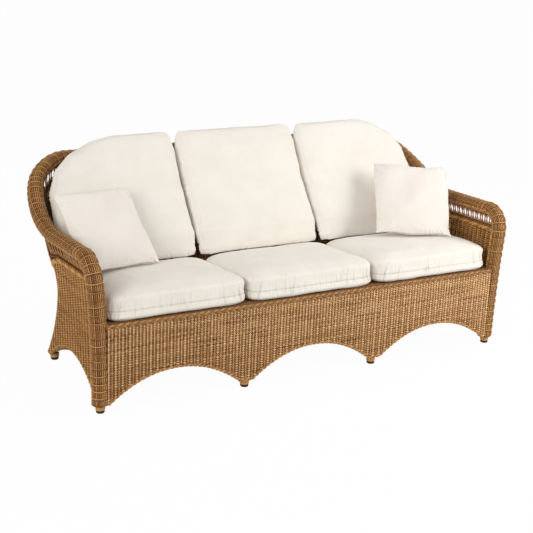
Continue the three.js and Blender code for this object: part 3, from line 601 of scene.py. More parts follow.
def add_wall_skin(bundles, u_from, u_to, spacing_u, light, dark):
    """The rows of a skin, those of even number in one bundle and the others in another."""
    heights = wall_rows(spacing_u)
    gaps = np.gradient(heights)
    for row, z in enumerate(heights):
        first = float(skin_start(z)) if u_from == 0 else u_from
        u = np.linspace(first, u_to, 240)
        run, path, spread = resample(wall_point(u, z), STAKE_PITCH / STEPS_PER_STAKE, u[:, None])
        u = spread[:, 0]
        out = wall_frame(u, np.full_like(u, z))[0]
        high = line_z(u, PANEL_TOP - PANEL_LAP)
        inside = (z > wall_hem(u, path) + ROW_PITCH / 2) & (z < high)
        if not inside.any():
            continue
        travel = run if u_from == 0 else run[-1] - run
        up = wall_point(u, z + PROBE_Z) - wall_point(u, z - PROBE_Z)
        stretch = np.linalg.norm(up, axis=-1) / (2 * PROBE_Z)
        wide = gaps[row] * ROW_FILL * stretch
        tone = row_tone(row, run, light, dark)
        phase = travel / STAKE_PITCH + row
        woven_row(bundles[row % 2], path, out, phase, inside, wide, tone, WALL_CROSSING_SHADE_AND_DIRT)


def add_wall_stakes(bundle, u_from, u_to):
    """The lining, dark as painted shade in the gaps between the rows, and the upright stakes between
    its hem and its top.
    """
    share = np.linspace(0, 1, 24)[:, None]
    u = np.linspace(float(skin_start(FLARE_Z)) if u_from == 0 else u_from, u_to, 90)
    z = mix(wall_hem(u, wall_point(u, FOOT_LINE_Z)), line_z(u, PANEL_TOP), share)
    bundle.sheet(wall_point(np.broadcast_to(u, z.shape), z), WALL_LINING_PAINTED_SHADE)
    run = lengths(wall_point(u, WAIST_Z))
    for place in np.interp(np.arange(0, run[-1], STAKE_PITCH), run, u):
        spot = np.array([place])
        low = wall_hem(spot, wall_point(spot, FOOT_LINE_Z))[0]
        z = np.linspace(low, line_z(spot, PANEL_TOP)[0], 22)
        at = np.full_like(z, place)
        out = wall_frame(at, z)[0]
        tone = maker.uniform(*WALL_STAKE_TONES)
        bundle.add(wall_point(at, z), out, STAKE_RADIUS, STAKE_RADIUS, tone)


def add_walls():
    for name, u_from, u_to, spacing_u, tones, nodes, shared in (
            ("side", 0, CORNER_MIDDLE_U, 0.5, SIDE_TONES, ["side_panel", "rear_corner_panel"], []),
            ("back", CORNER_MIDDLE_U, 3, 2.5, BACK_TONES, [], ["back_panel"])):
        bundles = [Bundle(), Bundle()]
        add_wall_skin(bundles, u_from, u_to, spacing_u, *tones)
        each_side(bundles[0], f"{name}_dark_rows", wall_cane, "weave", nodes, shared)
        each_side(bundles[1], f"{name}_light_rows", wall_cane, "weave")
        stakes = Bundle()
        add_wall_stakes(stakes, u_from, u_to)
        each_side(stakes, f"{name}_stakes", wall_cane, "weave")


# Ropes

Rope = namedtuple("Rope", "radius strands turn tone spread")
FRONT_HEM = Rope(0.0065, 2, 0.040, 0.62, 0.2)
WALL_HEM = Rope(0.0065, 2, 0.040, 0.60, 0.2)
CORNER_BRAID = Rope(0.0065, 2, 0.036, 0.5, 0.2)
SEAT_EDGE = Rope(EDGE_STRAND_REACH, 3, EDGE_TURN, 0.46, 0.16)
MOULDING = Rope(0.0105, 3, 0.070, 0.72, 0.22)
MOULDING_BRAID = Rope(0.0042, 2, 0.024, 0.16, 0.24)
PIPING = Rope(0.0036, 2, 0.024, 0.82, 0.16)
PAIR_SHARE = 0.5
STRAND_SHARE = 0.46
ROPE_SIDES = 6
FINE_STEP = 0.004


def rope(bundle, path, out, kind):
    """Strands twisted round a path, over a dark core that paints the shade between the strands."""
    run = lengths(path)
    along = unit(np.gradient(path, axis=0))
    side = unit(np.cross(along, out))
    up = np.cross(side, along)
    strand_radius = kind.radius * (PAIR_SHARE if kind.strands < 3 else STRAND_SHARE)
    # The dark core is painted shade, seen between the twisted strands
    bundle.add(path, out, kind.radius / 2, kind.radius / 2, 0.0)
    for strand in range(kind.strands):
        angle = 2 * math.pi * (run / kind.turn + strand / kind.strands)
        swing = side * np.cos(angle)[:, None] + up * np.sin(angle)[:, None]
        centre = path + swing * (kind.radius - strand_radius)
        tone = kind.tone + kind.spread * (strand - (kind.strands - 1) / 2)
        bundle.add(centre, swing, strand_radius, strand_radius, tone, ROPE_SIDES)


def wall_line(distance, step, push=0.0):
    """A line on the right wall at a distance below the roll, from the front to the centre."""
    u = np.linspace(SKIN_START_Y / float(SIDE_RUN), 3, 900)
    z = line_z(u, distance)
    out = wall_frame(u, z)[0]
    run, path, out, spread = resample(wall_point(u, z) + out * push, step, out, u[:, None])
    return run, path, unit(out), spread[:, 0]


HEM_END_INSET = 0.024
HEM_LIFT = 0.004
HEM_ROUNDS = 6
SIDE_HEM = (0.05, 0.999)
CORNER_HEM = (0.999, 2.001)
BACK_HEM = (2.001, 3)
CORNER_BRAID_PROUD = 0.002


def add_front_hem():
    """A twisted braid along the apron's hem."""
    bundle = Bundle()
    x = np.linspace(-(END_LEG_X - HEM_END_INSET), END_LEG_X - HEM_END_INSET, 1400)
    path = resample(front_points(x, front_hem(x) + HEM_LIFT), FINE_STEP)[1]
    rope(bundle, path, facing_front(len(path)), FRONT_HEM)
    bundle.piece("front_hem_braid", honey_cane, "honey_strand")


def add_wall_hems():
    """A braid along each hem of the wall, and an upright one that joins side and back."""
    bundle = Bundle()
    for u_from, u_to in (SIDE_HEM, CORNER_HEM, BACK_HEM):
        u = np.linspace(u_from, u_to, 600)
        z = np.full_like(u, FOOT_LINE_Z)
        for _ in range(HEM_ROUNDS):
            z = wall_hem(u, wall_point(u, z))
        out = wall_frame(u, z)[0]
        _, path, out = resample(wall_point(u, z + HEM_LIFT), FINE_STEP, out)
        rope(bundle, path, unit(out), WALL_HEM)
    top = line_z(np.array([CORNER_MIDDLE_U]), PANEL_TOP)[0]
    z = np.linspace(FOOT_LINE_Z, top, 160)
    u = np.full_like(z, CORNER_MIDDLE_U)
    out = wall_frame(u, z)[0]
    rope(bundle, wall_point(u, z) + out * CORNER_BRAID_PROUD, out, CORNER_BRAID)
    each_side(bundle, "wall_hem_braid", honey_cane, "honey_strand")


EDGE_END_INSET = 0.016
EDGE_STEP = 0.003


def add_edge_rope():
    """The braid along the seat's front edge: two ropes of opposite twist, one above the other."""
    end = END_LEG_X - EDGE_END_INSET
    x = np.arange(-end, end, EDGE_STEP)
    bundle = Bundle()
    for row, turn in ((1, EDGE_TURN), (3, -EDGE_TURN)):
        path = front_points(x, DECK_TOP_Z - row * EDGE_ROLL_RADIUS / 2)
        rope(bundle, path, facing_front(len(x)), SEAT_EDGE._replace(turn=turn))
    bundle.piece("seat_edge_rope", apron_cane, "honey_strand", ["seat_edge_roll"])


MOULDING_DROP = 0.005
MOULDING_STEP = 0.005
BRAID_RISE = 0.009
BRAID_PUSH = 0.005


def add_mouldings():
    """Below the openwork: a honey rope, and a thin dark braid on each side above it."""
    bundle = Bundle()
    _, path, out, _ = wall_line(MOULDING_DISTANCE + MOULDING_DROP, MOULDING_STEP)
    rope(bundle, path, out, MOULDING)
    for push in (-BRAID_PUSH, BRAID_PUSH):
        _, path, out, _ = wall_line(MOULDING_DISTANCE - BRAID_RISE, FINE_STEP, push)
        rope(bundle, path, out, MOULDING_BRAID)
    each_side(bundle, "moulding_rope", honey_cane, "honey_strand",
              ["arm_moulding", "corner_moulding"], ["back_moulding"])


# Openwork: half widths and depths of its strands, its bars and its rails
LENS_LAG = 0.07
LENS_OVERRUN = 0.001
LENS_SWING = 0.0014
LENS_HALF = (0.0010, 0.0011)
LENS_TONE = 0.48
LENS_TONE_STEP = 0.22
BAR_HALF = (0.0009, 0.0014)
BAR_TONE = 0.55
RAIL_HALF = (0.0020, 0.0024)
RAIL_TONE = 0.3
TOP_RAIL_INSET = 0.003
LOW_RAIL_INSET = 0.002
RAIL_STEP = 0.006


def add_rails(bundle, distances, half, tone):
    for distance in distances:
        _, path, out, _ = wall_line(distance, RAIL_STEP)
        bundle.add(path, out, *half, tone)


def add_openwork():
    """Crossing strands that leave lens-shaped holes, between thin rails."""
    bundle = Bundle()
    middle = OPENWORK_TOP + OPENWORK_HEIGHT / 2
    run, _, _, u = wall_line(middle, LENS_PITCH / 4)
    reach = OPENWORK_HEIGHT / 2 + LENS_OVERRUN
    for family in (0, 1):
        for lag in (-LENS_LAG, LENS_LAG):
            angle = math.pi * (run / LENS_PITCH + family + lag)
            z = line_z(u, middle + reach * np.cos(angle))
            out = wall_frame(u, z)[0]
            push = LENS_SWING * np.sin(angle) * (1 if family else -1)
            path = wall_point(u, z) + out * push[:, None]
            bundle.add(path, out, *LENS_HALF, LENS_TONE + LENS_TONE_STEP * family)
    bars = (middle - LENS_HEIGHT / 2, middle + LENS_HEIGHT / 2)
    rails = (OPENWORK_TOP + TOP_RAIL_INSET, OPENWORK_TOP + OPENWORK_HEIGHT - LOW_RAIL_INSET)
    add_rails(bundle, bars, BAR_HALF, BAR_TONE)
    add_rails(bundle, rails, RAIL_HALF, RAIL_TONE)
    each_side(bundle, "openwork_strands", roll_cane, "honey_strand",
              ["arm_openwork", "corner_openwork"], ["back_openwork"])


# The wrapped roll

def roll_route():
    """Even stations along the right half of the roll, from the front foot to the centre."""
    shoulder_z = ARM_ROLL_Z - SHOULDER_RADIUS
    z = np.linspace(FOOT_WRAP_TOP_Z, shoulder_z, 60)
    leg = np.stack([side_x(0, z), np.zeros_like(z), z], -1)
    angle = np.linspace(0, math.pi / 2, 30)[1:]
    y = SHOULDER_RADIUS * (1 - np.cos(angle))
    z = shoulder_z + SHOULDER_RADIUS * np.sin(angle)
    x = side_x(y, np.minimum(z, ARM_ROLL_Z - ROLL_HALF_HEIGHT))
    bend = np.stack([x, y, z], -1)
    u = np.linspace(SHOULDER_RADIUS / float(SIDE_RUN), 3, 700)[1:]
    z = roll_z(u)
    rest = wall_point(u, z - ROLL_HALF_HEIGHT)
    rest[:, 2] = z
    turn = np.clip(u - 1, 0, 1) * math.pi / 2
    across = np.tile([1.0, 0.0, 0.0], (len(leg) + len(bend), 1))
    swung = np.stack([np.cos(turn), np.sin(turn), np.zeros_like(turn)], -1)
    path = np.concatenate([leg, bend, rest])
    return resample(path, ROLL_STEP, np.concatenate([across, swung]))


def roll_axes(path, across):
    """Two directions square to the roll: outward, and up from it."""
    along = unit(np.gradient(path, axis=0))
    across = unit(across - along * np.sum(along * across, axis=1, keepdims=True))
    return across, np.cross(across, along)


def roll_skin(path, across, up, angle, inset):
    """Point and outward direction on the roll's skin at an angle from its outer side."""
    c, s = (np.asarray(share)[..., None] for share in (np.cos(angle), np.sin(angle)))
    place = path + across * c * (ROLL_HALF_WIDTH - inset) + up * s * (ROLL_HALF_HEIGHT - inset)
    return place, unit(across * c / ROLL_HALF_WIDTH + up * s / ROLL_HALF_HEIGHT)


# Angles run from the roll's outer side, and insets go in from its skin
CAP_START = math.radians(-14)
CAP_END = math.radians(194)
CAP_INSET = 0.0018
CAP_DEPTH = 0.0018
LIGHT_HALF = 0.0013
DARK_HALF = 0.0021
LIGHT_TONES = (0.56, 0.88)
DARK_TONES = (0.0, 0.24)
# Painted highlight where a cap strand rises over, and painted shade where it is drawn in at a ring
OVER_PAINTED_LIGHT = 0.18
DRAWN_PAINTED_SHADE = 0.40
RING_INSET = 0.0034
RING_HALF = (0.0016, 0.0017)
RING_TONE = 0.74
RING_WANDER = (-0.20, 0.14)
WRAP_LAP = 0.1
WRAP_INSET = 0.0030
WRAP_DEPTH = 0.0022
WRAP_TONE = 0.66
WRAP_WANDER = (-0.12, 0.12)
PIPING_GAP = 0.12
PIPING_INSET = 0.0020
CORE_INSET = 0.0055
CORE_SIDES = 16


def add_cap(bundle, run, path, across, up):
    """Lengthwise strands, wide dark ones and thin light ones, drawn in at each ring, with painted shade
    where they are drawn in and a painted highlight where they rise over.
    """
    drawn = 1 - np.abs(np.sin(math.pi * run / RING_PITCH))
    for strand in range(CAP_STRANDS):
        angle = mix(CAP_START, CAP_END, strand / (CAP_STRANDS - 1))
        place, out = roll_skin(path, across, up, np.full(len(path), angle), CAP_INSET)
        light = strand % 2 == 1
        over = np.cos(math.pi * (run / ROLL_STEP + strand // 2))
        depth = RING_DRAW * drawn - STRAND_SWING * over - (STRAND_SWING if light else 0.0)
        place = place - out * depth[:, None]
        half = LIGHT_HALF if light else DARK_HALF
        tone = maker.uniform(*(LIGHT_TONES if light else DARK_TONES))
        # Painted light: lighter where the strand rises, darker in the groove beside each ring
        tones = np.repeat(tone + OVER_PAINTED_LIGHT * over - DRAWN_PAINTED_SHADE * drawn ** 2, 4)
        bundle.add(place, out, half, CAP_DEPTH, tones)


def add_rings(bundle, run, path, across, up):
    """A lighter strand bound across the cap at each ring."""
    angle = np.linspace(CAP_START, CAP_END, 22)
    for s in np.arange(RING_PITCH, run[-1], RING_PITCH):
        i = int(round(s / ROLL_STEP))
        if i >= len(path):
            continue
        place, out = roll_skin(path[i], across[i], up[i], angle, RING_INSET)
        bundle.add(place, out, *RING_HALF, RING_TONE + maker.uniform(*RING_WANDER))


def add_wraps(bundle, run, path, across, up):
    """Close wraps round the underside."""
    angle = np.linspace(CAP_END - WRAP_LAP, CAP_START + 2 * math.pi + WRAP_LAP, 12)
    for k in range(int(run[-1] / WRAP_PITCH)):
        at = (k + 0.5) * WRAP_PITCH
        centre, side, rise = (
            np.array([np.interp(at, run, v[:, i]) for i in range(3)]) for v in (path, across, up))
        place, out = roll_skin(centre, side, rise, angle, WRAP_INSET)
        tone = WRAP_TONE + maker.uniform(*WRAP_WANDER)
        bundle.add(place, out, WRAP_PITCH / 2, WRAP_DEPTH, tone)


def add_piping(bundle, path, across, up):
    """The beaded edge on each side of the cap."""
    for angle in (CAP_START - PIPING_GAP, CAP_END + PIPING_GAP):
        place, out = roll_skin(path, across, up, np.full(len(path), angle), PIPING_INSET)
        _, fine, out = resample(place, FINE_STEP, out)
        rope(bundle, fine, unit(out), PIPING)


def add_roll():
    run, path, across = roll_route()
    across, up = roll_axes(path, across)
    cap = Bundle()
    # The dark core is painted shade, seen between the cap's strands
    cap.add(path, up, ROLL_HALF_WIDTH - CORE_INSET, ROLL_HALF_HEIGHT - CORE_INSET, 0.0, CORE_SIDES)
    add_cap(cap, run, path, across, up)
    each_side(cap, "roll_strands", roll_cane, "weave", ["arm_roll", "rear_corner_roll"],
              ["back_roll"])
    trim = Bundle()
    add_rings(trim, run, path, across, up)
    add_piping(trim, path, across, up)
    each_side(trim, "roll_rings", roll_cane, "honey_strand")
    wraps = Bundle()
    add_wraps(wraps, run, path, across, up)
    each_side(wraps, "roll_wraps", honey_cane, "honey_strand")


# Feet and the parts that keep their shape

FOOT_TURNS = 5
FOOT_TURN_STEPS = 24
FOOT_LAP = 1.05
FOOT_DEPTH = 0.0021
FOOT_TONE = 0.72


def add_feet():
    """Cane wound round each foot."""
    angle = np.linspace(0, 2 * math.pi * FOOT_TURNS, FOOT_TURN_STEPS * FOOT_TURNS)
    strand = (FOOT_WRAP_TOP_Z - FOOT_WRAP_BOTTOM_Z) / FOOT_TURNS / 2
    out = np.stack([np.cos(angle), np.sin(angle), np.zeros_like(angle)], -1)
    for node in sorted(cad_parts):
        if "_foot_wrap_" not in node:
            continue
        low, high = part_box(node)
        centre = np.array([(low[0] + high[0]) / 2, (low[1] + high[1]) / 2 - BASE_SHIFT, 0.0])
        path = centre + out * FOOT_COIL_RADIUS
        path[:, 2] = mix(FOOT_WRAP_BOTTOM_Z + strand, FOOT_WRAP_TOP_Z - strand, angle / angle[-1])
        bundle = Bundle()
        bundle.add(path, out, strand * FOOT_LAP, FOOT_DEPTH, FOOT_TONE, ROPE_SIDES)
        name = node.replace("_wrap_", "_winding_")
        bundle.piece(name, honey_cane, "foot_cane", [node])


def dress_nodes():
    """Better materials on the CAD nodes that keep their shape."""
    for name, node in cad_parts.items():
        if "glide" in name:
            material = glide_rubber
        elif name == "seat_deck":
            material = deck_cane
        else:
            material = frame_paint
        node.data.materials.clear()
        node.data.materials.append(material)


def deck_material():
    """Crossed bands of cane, for the deck under the cushions."""
    material, nodes, links, shader = tree_of("deck_cane")
    place = own_place(nodes)
    check = nodes.new("ShaderNodeTexChecker")
    put(check, Scale=90, Color1=(0.30, 0.15, 0.05, 1), Color2=(0.17, 0.075, 0.028, 1))
    links.new(place, check.inputs["Vector"])
    links.new(check.outputs["Color"], shader.inputs["Base Color"])
    add_bump(nodes, links, shader, check.outputs["Fac"], 0.5, 0.001)
    put(shader, Roughness=0.6)
    return material


deck_cane = deck_material()


# Cushions

VOXEL = 0.010
COVER_INSET = 0.002
CUSHION_CAP = 0.007
CUSHION_FIT = 0.001
FRONT_SLICES = 24
CAD_POWER = 2.4
FRONT_POWER = 4.0
PILLOW_SIZE = 0.346
PILLOW_THICKNESS = 0.092
PILLOW_CELLS = 40
PILLOW_START_SHARE = 0.90
PILLOW_DRAW_IN = -0.002
PILLOW_GROWTH = 0.022
LEFT_PILLOW_TURNS = (4, -42, 18)
RIGHT_PILLOW_TURNS = (1, -41, -27)
SEAM_WIDTH = 0.0028
SEAM_DEPTH = 0.0018
CUSHION_PRESSURE = 4.0
PILLOW_PRESSURE = 2.0
PILLOW_CAP = 0.006
INFLATE_FRAMES = 20
COVER_LEVELS = 2
FRONT_FADE = 0.5
FLAT_LIMIT = 0.9

# Dents: depth and fineness
BROAD_DENTS = (0.0030, 8.0)
FINE_DENTS = (0.0012, 24.0)
PILLOW_DENTS = (0.0100, 9.0)
DENT_MIDDLE = 0.4
SEED_STEPS = (3.1, 1.7, 2.3)

# Seams: height share, and depth of the puckers
SEAT_SEAM = (0.32, 0.0042)
BACK_SEAM = (0.45, 0.0026)
PILLOW_SEAM = (0.5, 0.0024)
EDGE_SLOPE = 0.97
EDGE_FADE = 0.4

# Puckers all round, and tucks beside the corners
PUCKER_GAPS = (0.008, 0.030)
PUCKER_WIDTHS = (0.0024, 0.0046)
PUCKER_ABOVE = (0.018, 0.055)
PUCKER_BELOW = (0.012, 0.034)
PUCKER_SLANTS = (-0.3, 0.3)
PUCKER_START = 0.62
PUCKER_RISE = 0.34
TUCK_PLACES = (0.026, 0.034)
TUCK_WIDTH = 0.0042
TUCK_SHARE = 1.4
TUCK_ABOVE = 0.040
TUCK_BELOW = 0.030
TUCK_SLANT = 0.25
RIDGE_PLACE = 1.9
RIDGE_SHARE = 0.4


def bake_modifiers(piece):
    evaluated = piece.evaluated_get(bpy.context.evaluated_depsgraph_get())
    mesh = bpy.data.meshes.new_from_object(evaluated)
    piece.modifiers.clear()
    piece.data = mesh


def coordinates(mesh, kind="co"):
    values = np.empty(len(mesh.vertices) * 3, np.float32)
    mesh.vertices.foreach_get(kind, values)
    return values.reshape(-1, 3).astype(float)


def set_coordinates(mesh, points):
    mesh.vertices.foreach_set("co", np.ascontiguousarray(points, np.float32).ravel())
    mesh.update()


def fresh_copy(node, name):
    """An evenly meshed copy of a CAD cushion, a little smaller than it."""
    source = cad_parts[node]
    mesh = source.data.copy()
    mesh.materials.clear()
    piece = add_object(name, mesh)
    piece.matrix_world = source.matrix_world
    remesh = piece.modifiers.new("Remesh", "REMESH")
    remesh.mode = "VOXEL"
    remesh.voxel_size = VOXEL
    remesh.use_smooth_shade = True
    bake_modifiers(piece)
    points = coordinates(piece.data)
    set_coordinates(piece.data, points - coordinates(piece.data, "normal") * COVER_INSET)
    return piece


def inflate(piece, pressure, cap):
    """Fills the cover with air for a moment, and caps how far a point may move."""
    before = coordinates(piece.data)
    cloth = piece.modifiers.new("Cloth", "CLOTH")
    cloth.settings.use_pressure = True
    cloth.settings.uniform_pressure_force = pressure
    cloth.settings.effector_weights.gravity = 0
    cloth.settings.quality = 4
    cloth.settings.bending_stiffness = 0.4
    for at in range(1, INFLATE_FRAMES + 1):
        scene.frame_set(at)
    after = coordinates(piece.evaluated_get(bpy.context.evaluated_depsgraph_get()).data)
    piece.modifiers.clear()
    scene.frame_set(1)
    move = after - before
    far = np.linalg.norm(move, axis=1, keepdims=True)
    set_coordinates(piece.data, before + move / np.sqrt(1 + (far / cap) ** 2))


def fit_box(points, low, high):
    """The points stretched to fill a box."""
    low, high = np.array(low), np.array(high)
    size = high - low
    from_low, from_high = points.min(axis=0), points.max(axis=0)
    return low + (points - from_low) / (from_high - from_low) * size


def smooth_out(piece, rounds):
    even = piece.modifiers.new("Even", "SMOOTH")
    even.iterations = rounds
    bake_modifiers(piece)


def keep_inside(piece, node):
    """Points that stand proud of the CAD cushion come back to it."""
    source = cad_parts[node]
    tree = BVHTree.FromPolygons([source.matrix_world @ v.co for v in source.data.vertices],
                                [p.vertices[:] for p in source.data.polygons])
    points = coordinates(piece.data)
    for i, point in enumerate(points):
        near, normal, _, _ = tree.find_nearest(Vector(point))
        if (Vector(point) - near).dot(normal) > CUSHION_FIT:
            points[i] = near + normal * CUSHION_FIT
    set_coordinates(piece.data, points)


def square_front(piece):
    """Fuller front corners than the CAD cushion's, inside its own width and depth at each height."""
    points = coordinates(piece.data)
    low, high = points.min(axis=0), points.max(axis=0)
    slices = np.linspace(low[2], high[2], FRONT_SLICES + 1)
    middles = (slices[:-1] + slices[1:]) / 2
    which = np.clip(np.digitize(points[:, 2], slices) - 1, 0, FRONT_SLICES - 1)
    ends = []
    for reach in (np.min, np.max):
        found = np.array([reach(points[which == i, :2], axis=0) for i in range(FRONT_SLICES)])
        ends.append(np.stack([np.interp(points[:, 2], middles, found[:, i]) for i in (0, 1)], -1))
    centre = (ends[0] + ends[1]) / 2
    flat = (points[:, :2] - centre) / ((ends[1] - ends[0]) / 2)
    size = np.maximum(np.abs(flat), 1e-6)
    rounded = np.sum(size ** CAD_POWER, axis=1) ** (1 / CAD_POWER)
    squared = np.sum(size ** FRONT_POWER, axis=1) ** (1 / FRONT_POWER)
    share = smooth(-flat[:, 1] / FRONT_FADE)
    points[:, :2] = centre + (points[:, :2] - centre) * mix(1, rounded / squared, share)[:, None]
    set_coordinates(piece.data, points)


def soften(piece, depth, scale, seed):
    """Broad soft dents, from smooth noise."""
    points = coordinates(piece.data)
    offset = Vector([seed * step for step in SEED_STEPS])
    values = np.array([noise.noise(Vector(p) * scale + offset) for p in points])
    push = depth * (values - DENT_MIDDLE)[:, None]
    set_coordinates(piece.data, points + coordinates(piece.data, "normal") * push)


def cushion_places(piece):
    """Each point across, along and through the cushion, and the cover's slope to its face."""
    points = coordinates(piece.data)
    centre = points.mean(axis=0)
    through = np.linalg.svd((points - centre)[::7], full_matrices=False)[2][2]
    through = through * np.sign(through @ np.array([0.0, -1.0, 1.0]))
    across = unit(np.cross(through, [0.0, 0.0, 1.0]))
    if abs(through[2]) > FLAT_LIMIT:
        across = np.array([1.0, 0.0, 0.0])
    along = np.cross(through, across)
    axes = np.stack([across, along, through])
    local = (points - centre) @ axes.T
    slope = np.abs(coordinates(piece.data, "normal") @ through)
    return local, slope


def perimeter(local):
    """Distance round the edge, the whole way round, the corners, and the reach towards the edge."""
    low, high = local.min(axis=0), local.max(axis=0)
    wide, long = (high - low)[:2] / 2
    a, b = ((local - (high + low) / 2)[:, :2] / (wide, long)).T
    far = np.maximum(np.maximum(np.abs(a), np.abs(b)), 1e-6)
    a, b = a / far, b / far
    s = np.select([a >= np.abs(b), b >= np.abs(a), -a >= np.abs(b)],
                  [b * long, long + (1 - a) * wide, long + 2 * wide + (1 - b) * long],
                  3 * long + 2 * wide + (1 + a) * wide)
    corners = [long, long + 2 * wide, 3 * long + 2 * wide, -long]
    return s, 4 * (wide + long), corners, far


def fold_at(s, q, round_trip, place, width, depth, above, below, slant):
    """One pucker: a valley with a low ridge on each side, fading away from the seam."""
    gap = (s - place - slant * q + round_trip / 2) % round_trip - round_trip / 2
    fade = np.exp(-(q / np.where(q > 0, above, below)) ** 2)
    valley = np.exp(-(gap / width) ** 2)
    ridge = np.exp(-((np.abs(gap) - RIDGE_PLACE * width) / width) ** 2)
    return depth * fade * (RIDGE_SHARE * ridge - valley)


def sew(piece, seam_share, strength, seed):
    """The seam round the edge, its puckers, and a tucked fold beside each corner."""
    draw = np.random.default_rng(seed)
    local, slope = cushion_places(piece)
    low, high = local[:, 2].min(), local[:, 2].max()
    q = local[:, 2] - mix(low, high, seam_share)
    s, round_trip, corners, far = perimeter(local)
    edge = smooth((EDGE_SLOPE - slope) / EDGE_FADE)
    crease = np.exp(-(q / SEAM_WIDTH) ** 2) * edge
    push = -SEAM_DEPTH * crease
    place = 0.0
    while place < round_trip:
        place += draw.uniform(*PUCKER_GAPS)
        depth = strength * draw.uniform(0.2, 1.0) ** 2
        push += fold_at(s, q, round_trip, place, draw.uniform(*PUCKER_WIDTHS), depth,
                        draw.uniform(*PUCKER_ABOVE), draw.uniform(*PUCKER_BELOW),
                        draw.uniform(*PUCKER_SLANTS))
    for corner in corners:
        for side in (-1, 1):
            place = corner + side * draw.uniform(*TUCK_PLACES)
            push += fold_at(s, q, round_trip, place, TUCK_WIDTH, TUCK_SHARE * strength,
                            TUCK_ABOVE, TUCK_BELOW, TUCK_SLANT * side)
    push = push * smooth((far - PUCKER_START) / PUCKER_RISE)
    points = coordinates(piece.data)
    normals = coordinates(piece.data, "normal")
    set_coordinates(piece.data, points + normals * push[:, None])
    # The crease is kept as tone: the cloth paints the thread line and the groove's shade with it
    tone = piece.data.attributes.new("tone", "FLOAT", "POINT")
    tone.data.foreach_set("value", crease.astype(np.float32))


def finish_cushion(piece, node, material, seam, seed):
    """Dents, seam and looks. Cushions, not pillows, are brought back to their solids first."""
    soften(piece, *BROAD_DENTS, seed)
    soften(piece, *FINE_DENTS, seed + 5)
    if not node.startswith("pillow"):
        keep_inside(piece, node)
    if node.startswith("back_cushion"):
        square_front(piece)
    divide = piece.modifiers.new("Divide", "SUBSURF")
    divide.levels = COVER_LEVELS
    divide.render_levels = COVER_LEVELS
    bake_modifiers(piece)
    sew(piece, *seam, seed)
    piece.data.shade_smooth()
    piece.data.materials.clear()
    piece.data.materials.append(material)
    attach(piece, node)
    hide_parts(node)


def make_cushion(node, seam, seed):
    """A cover made from the CAD cushion, filled, and fitted to the cushion's box."""
    piece = fresh_copy(node, f"{node}_cover")
    inflate(piece, CUSHION_PRESSURE, CUSHION_CAP)
    smooth_out(piece, 1)
    set_coordinates(piece.data, fit_box(coordinates(piece.data), *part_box(node)))
    finish_cushion(piece, node, cushion_cloth, seam, seed)


def pillow_cover(name):
    """Two square faces sewn along their edges, hardly filled yet."""
    count = PILLOW_CELLS + 1
    s, t = np.meshgrid(np.linspace(-1, 1, count), np.linspace(-1, 1, count), indexing="ij")
    half = PILLOW_SIZE / 2
    crown = ((1 - s * s) * (1 - t * t)) ** 0.5 * PILLOW_THICKNESS / 2 * PILLOW_START_SHARE
    x = s * (half - PILLOW_DRAW_IN * (1 - t * t))
    z = t * (half - PILLOW_DRAW_IN * (1 - s * s))
    rim = (np.abs(s) == 1) | (np.abs(t) == 1)
    front = np.arange(count * count).reshape(count, count)
    back = front.copy()
    back[~rim] = count * count + np.arange((~rim).sum())
    points = np.concatenate([np.stack([x, -crown, z], -1).reshape(-1, 3),
                             np.stack([x, crown, z], -1)[~rim]])
    quads = [np.stack([g[:-1, :-1], g[1:, :-1], g[1:, 1:], g[:-1, 1:]], -1).reshape(-1, 4)
             for g in (front, back)]
    quads[1] = quads[1][:, ::-1]
    return mesh_piece(name, points, np.concatenate(quads), pillow_cloth)


def make_pillow(node, turns, seed):
    """A square pillow blown up in its own frame, then turned and set where the model has it."""
    piece = pillow_cover(f"{node}_cover")
    inflate(piece, PILLOW_PRESSURE, PILLOW_CAP)
    smooth_out(piece, 2)
    half = np.array([PILLOW_SIZE, PILLOW_THICKNESS, PILLOW_SIZE]) / 2
    points = fit_box(coordinates(piece.data), -half, half)
    roll, lean, turn = (math.radians(v) for v in turns)
    spin = Matrix.Rotation(turn, 3, "Z") @ Matrix.Rotation(lean, 3, "X") @ Matrix.Rotation(roll, 3, "Y")
    points = points @ np.array(spin).T
    low, high = (np.array(corner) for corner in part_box(node))
    grow = (high - low) * PILLOW_GROWTH
    set_coordinates(piece.data, fit_box(points, low - grow * (1, 1, 0), high + grow))
    soften(piece, *PILLOW_DENTS, seed + 2)
    finish_cushion(piece, node, pillow_cloth, PILLOW_SEAM, seed)


def add_cushions():
    for seed, place in enumerate(("left", "middle", "right")):
        make_cushion(f"seat_cushion_{place}", SEAT_SEAM, seed)
        make_cushion(f"back_cushion_{place}", BACK_SEAM, seed + 3)
    make_pillow("pillow_left", LEFT_PILLOW_TURNS, seed=7)
    make_pillow("pillow_right", RIGHT_PILLOW_TURNS, seed=8)


# Stage, light and camera

def add_blend(nodes, links, share, plain, seen, output):
    """The plain shader, and the seen one by the share, to the output's surface."""
    blend = nodes.new("ShaderNodeMixShader")
    links.new(share, blend.inputs["Fac"])
    links.new(plain.outputs[0], blend.inputs[1])
    links.new(seen.outputs[0], blend.inputs[2])
    links.new(blend.outputs[0], nodes[output].inputs["Surface"])


FLOOR_SIZE = 60
FLOOR_GLOW = 0.97
WORLD_FILL = 0.46

# Name, place, target, size, power and colour of each area light
LIGHTS = (
    ("key", (2.6, -1.9, 1.8), (0.3, 0, 0.4), 1.8, 62, (1.0, 0.985, 0.965)),
    ("fill", (-7.0, -3.6, 3.6), (0.4, 0, 0.4), 5.0, 300, (1.0, 0.98, 0.96)),
    ("top", (0, 0.4, 3.6), (0, 0, 0.4), 3.0, 12, (1.0, 1.0, 1.0)))


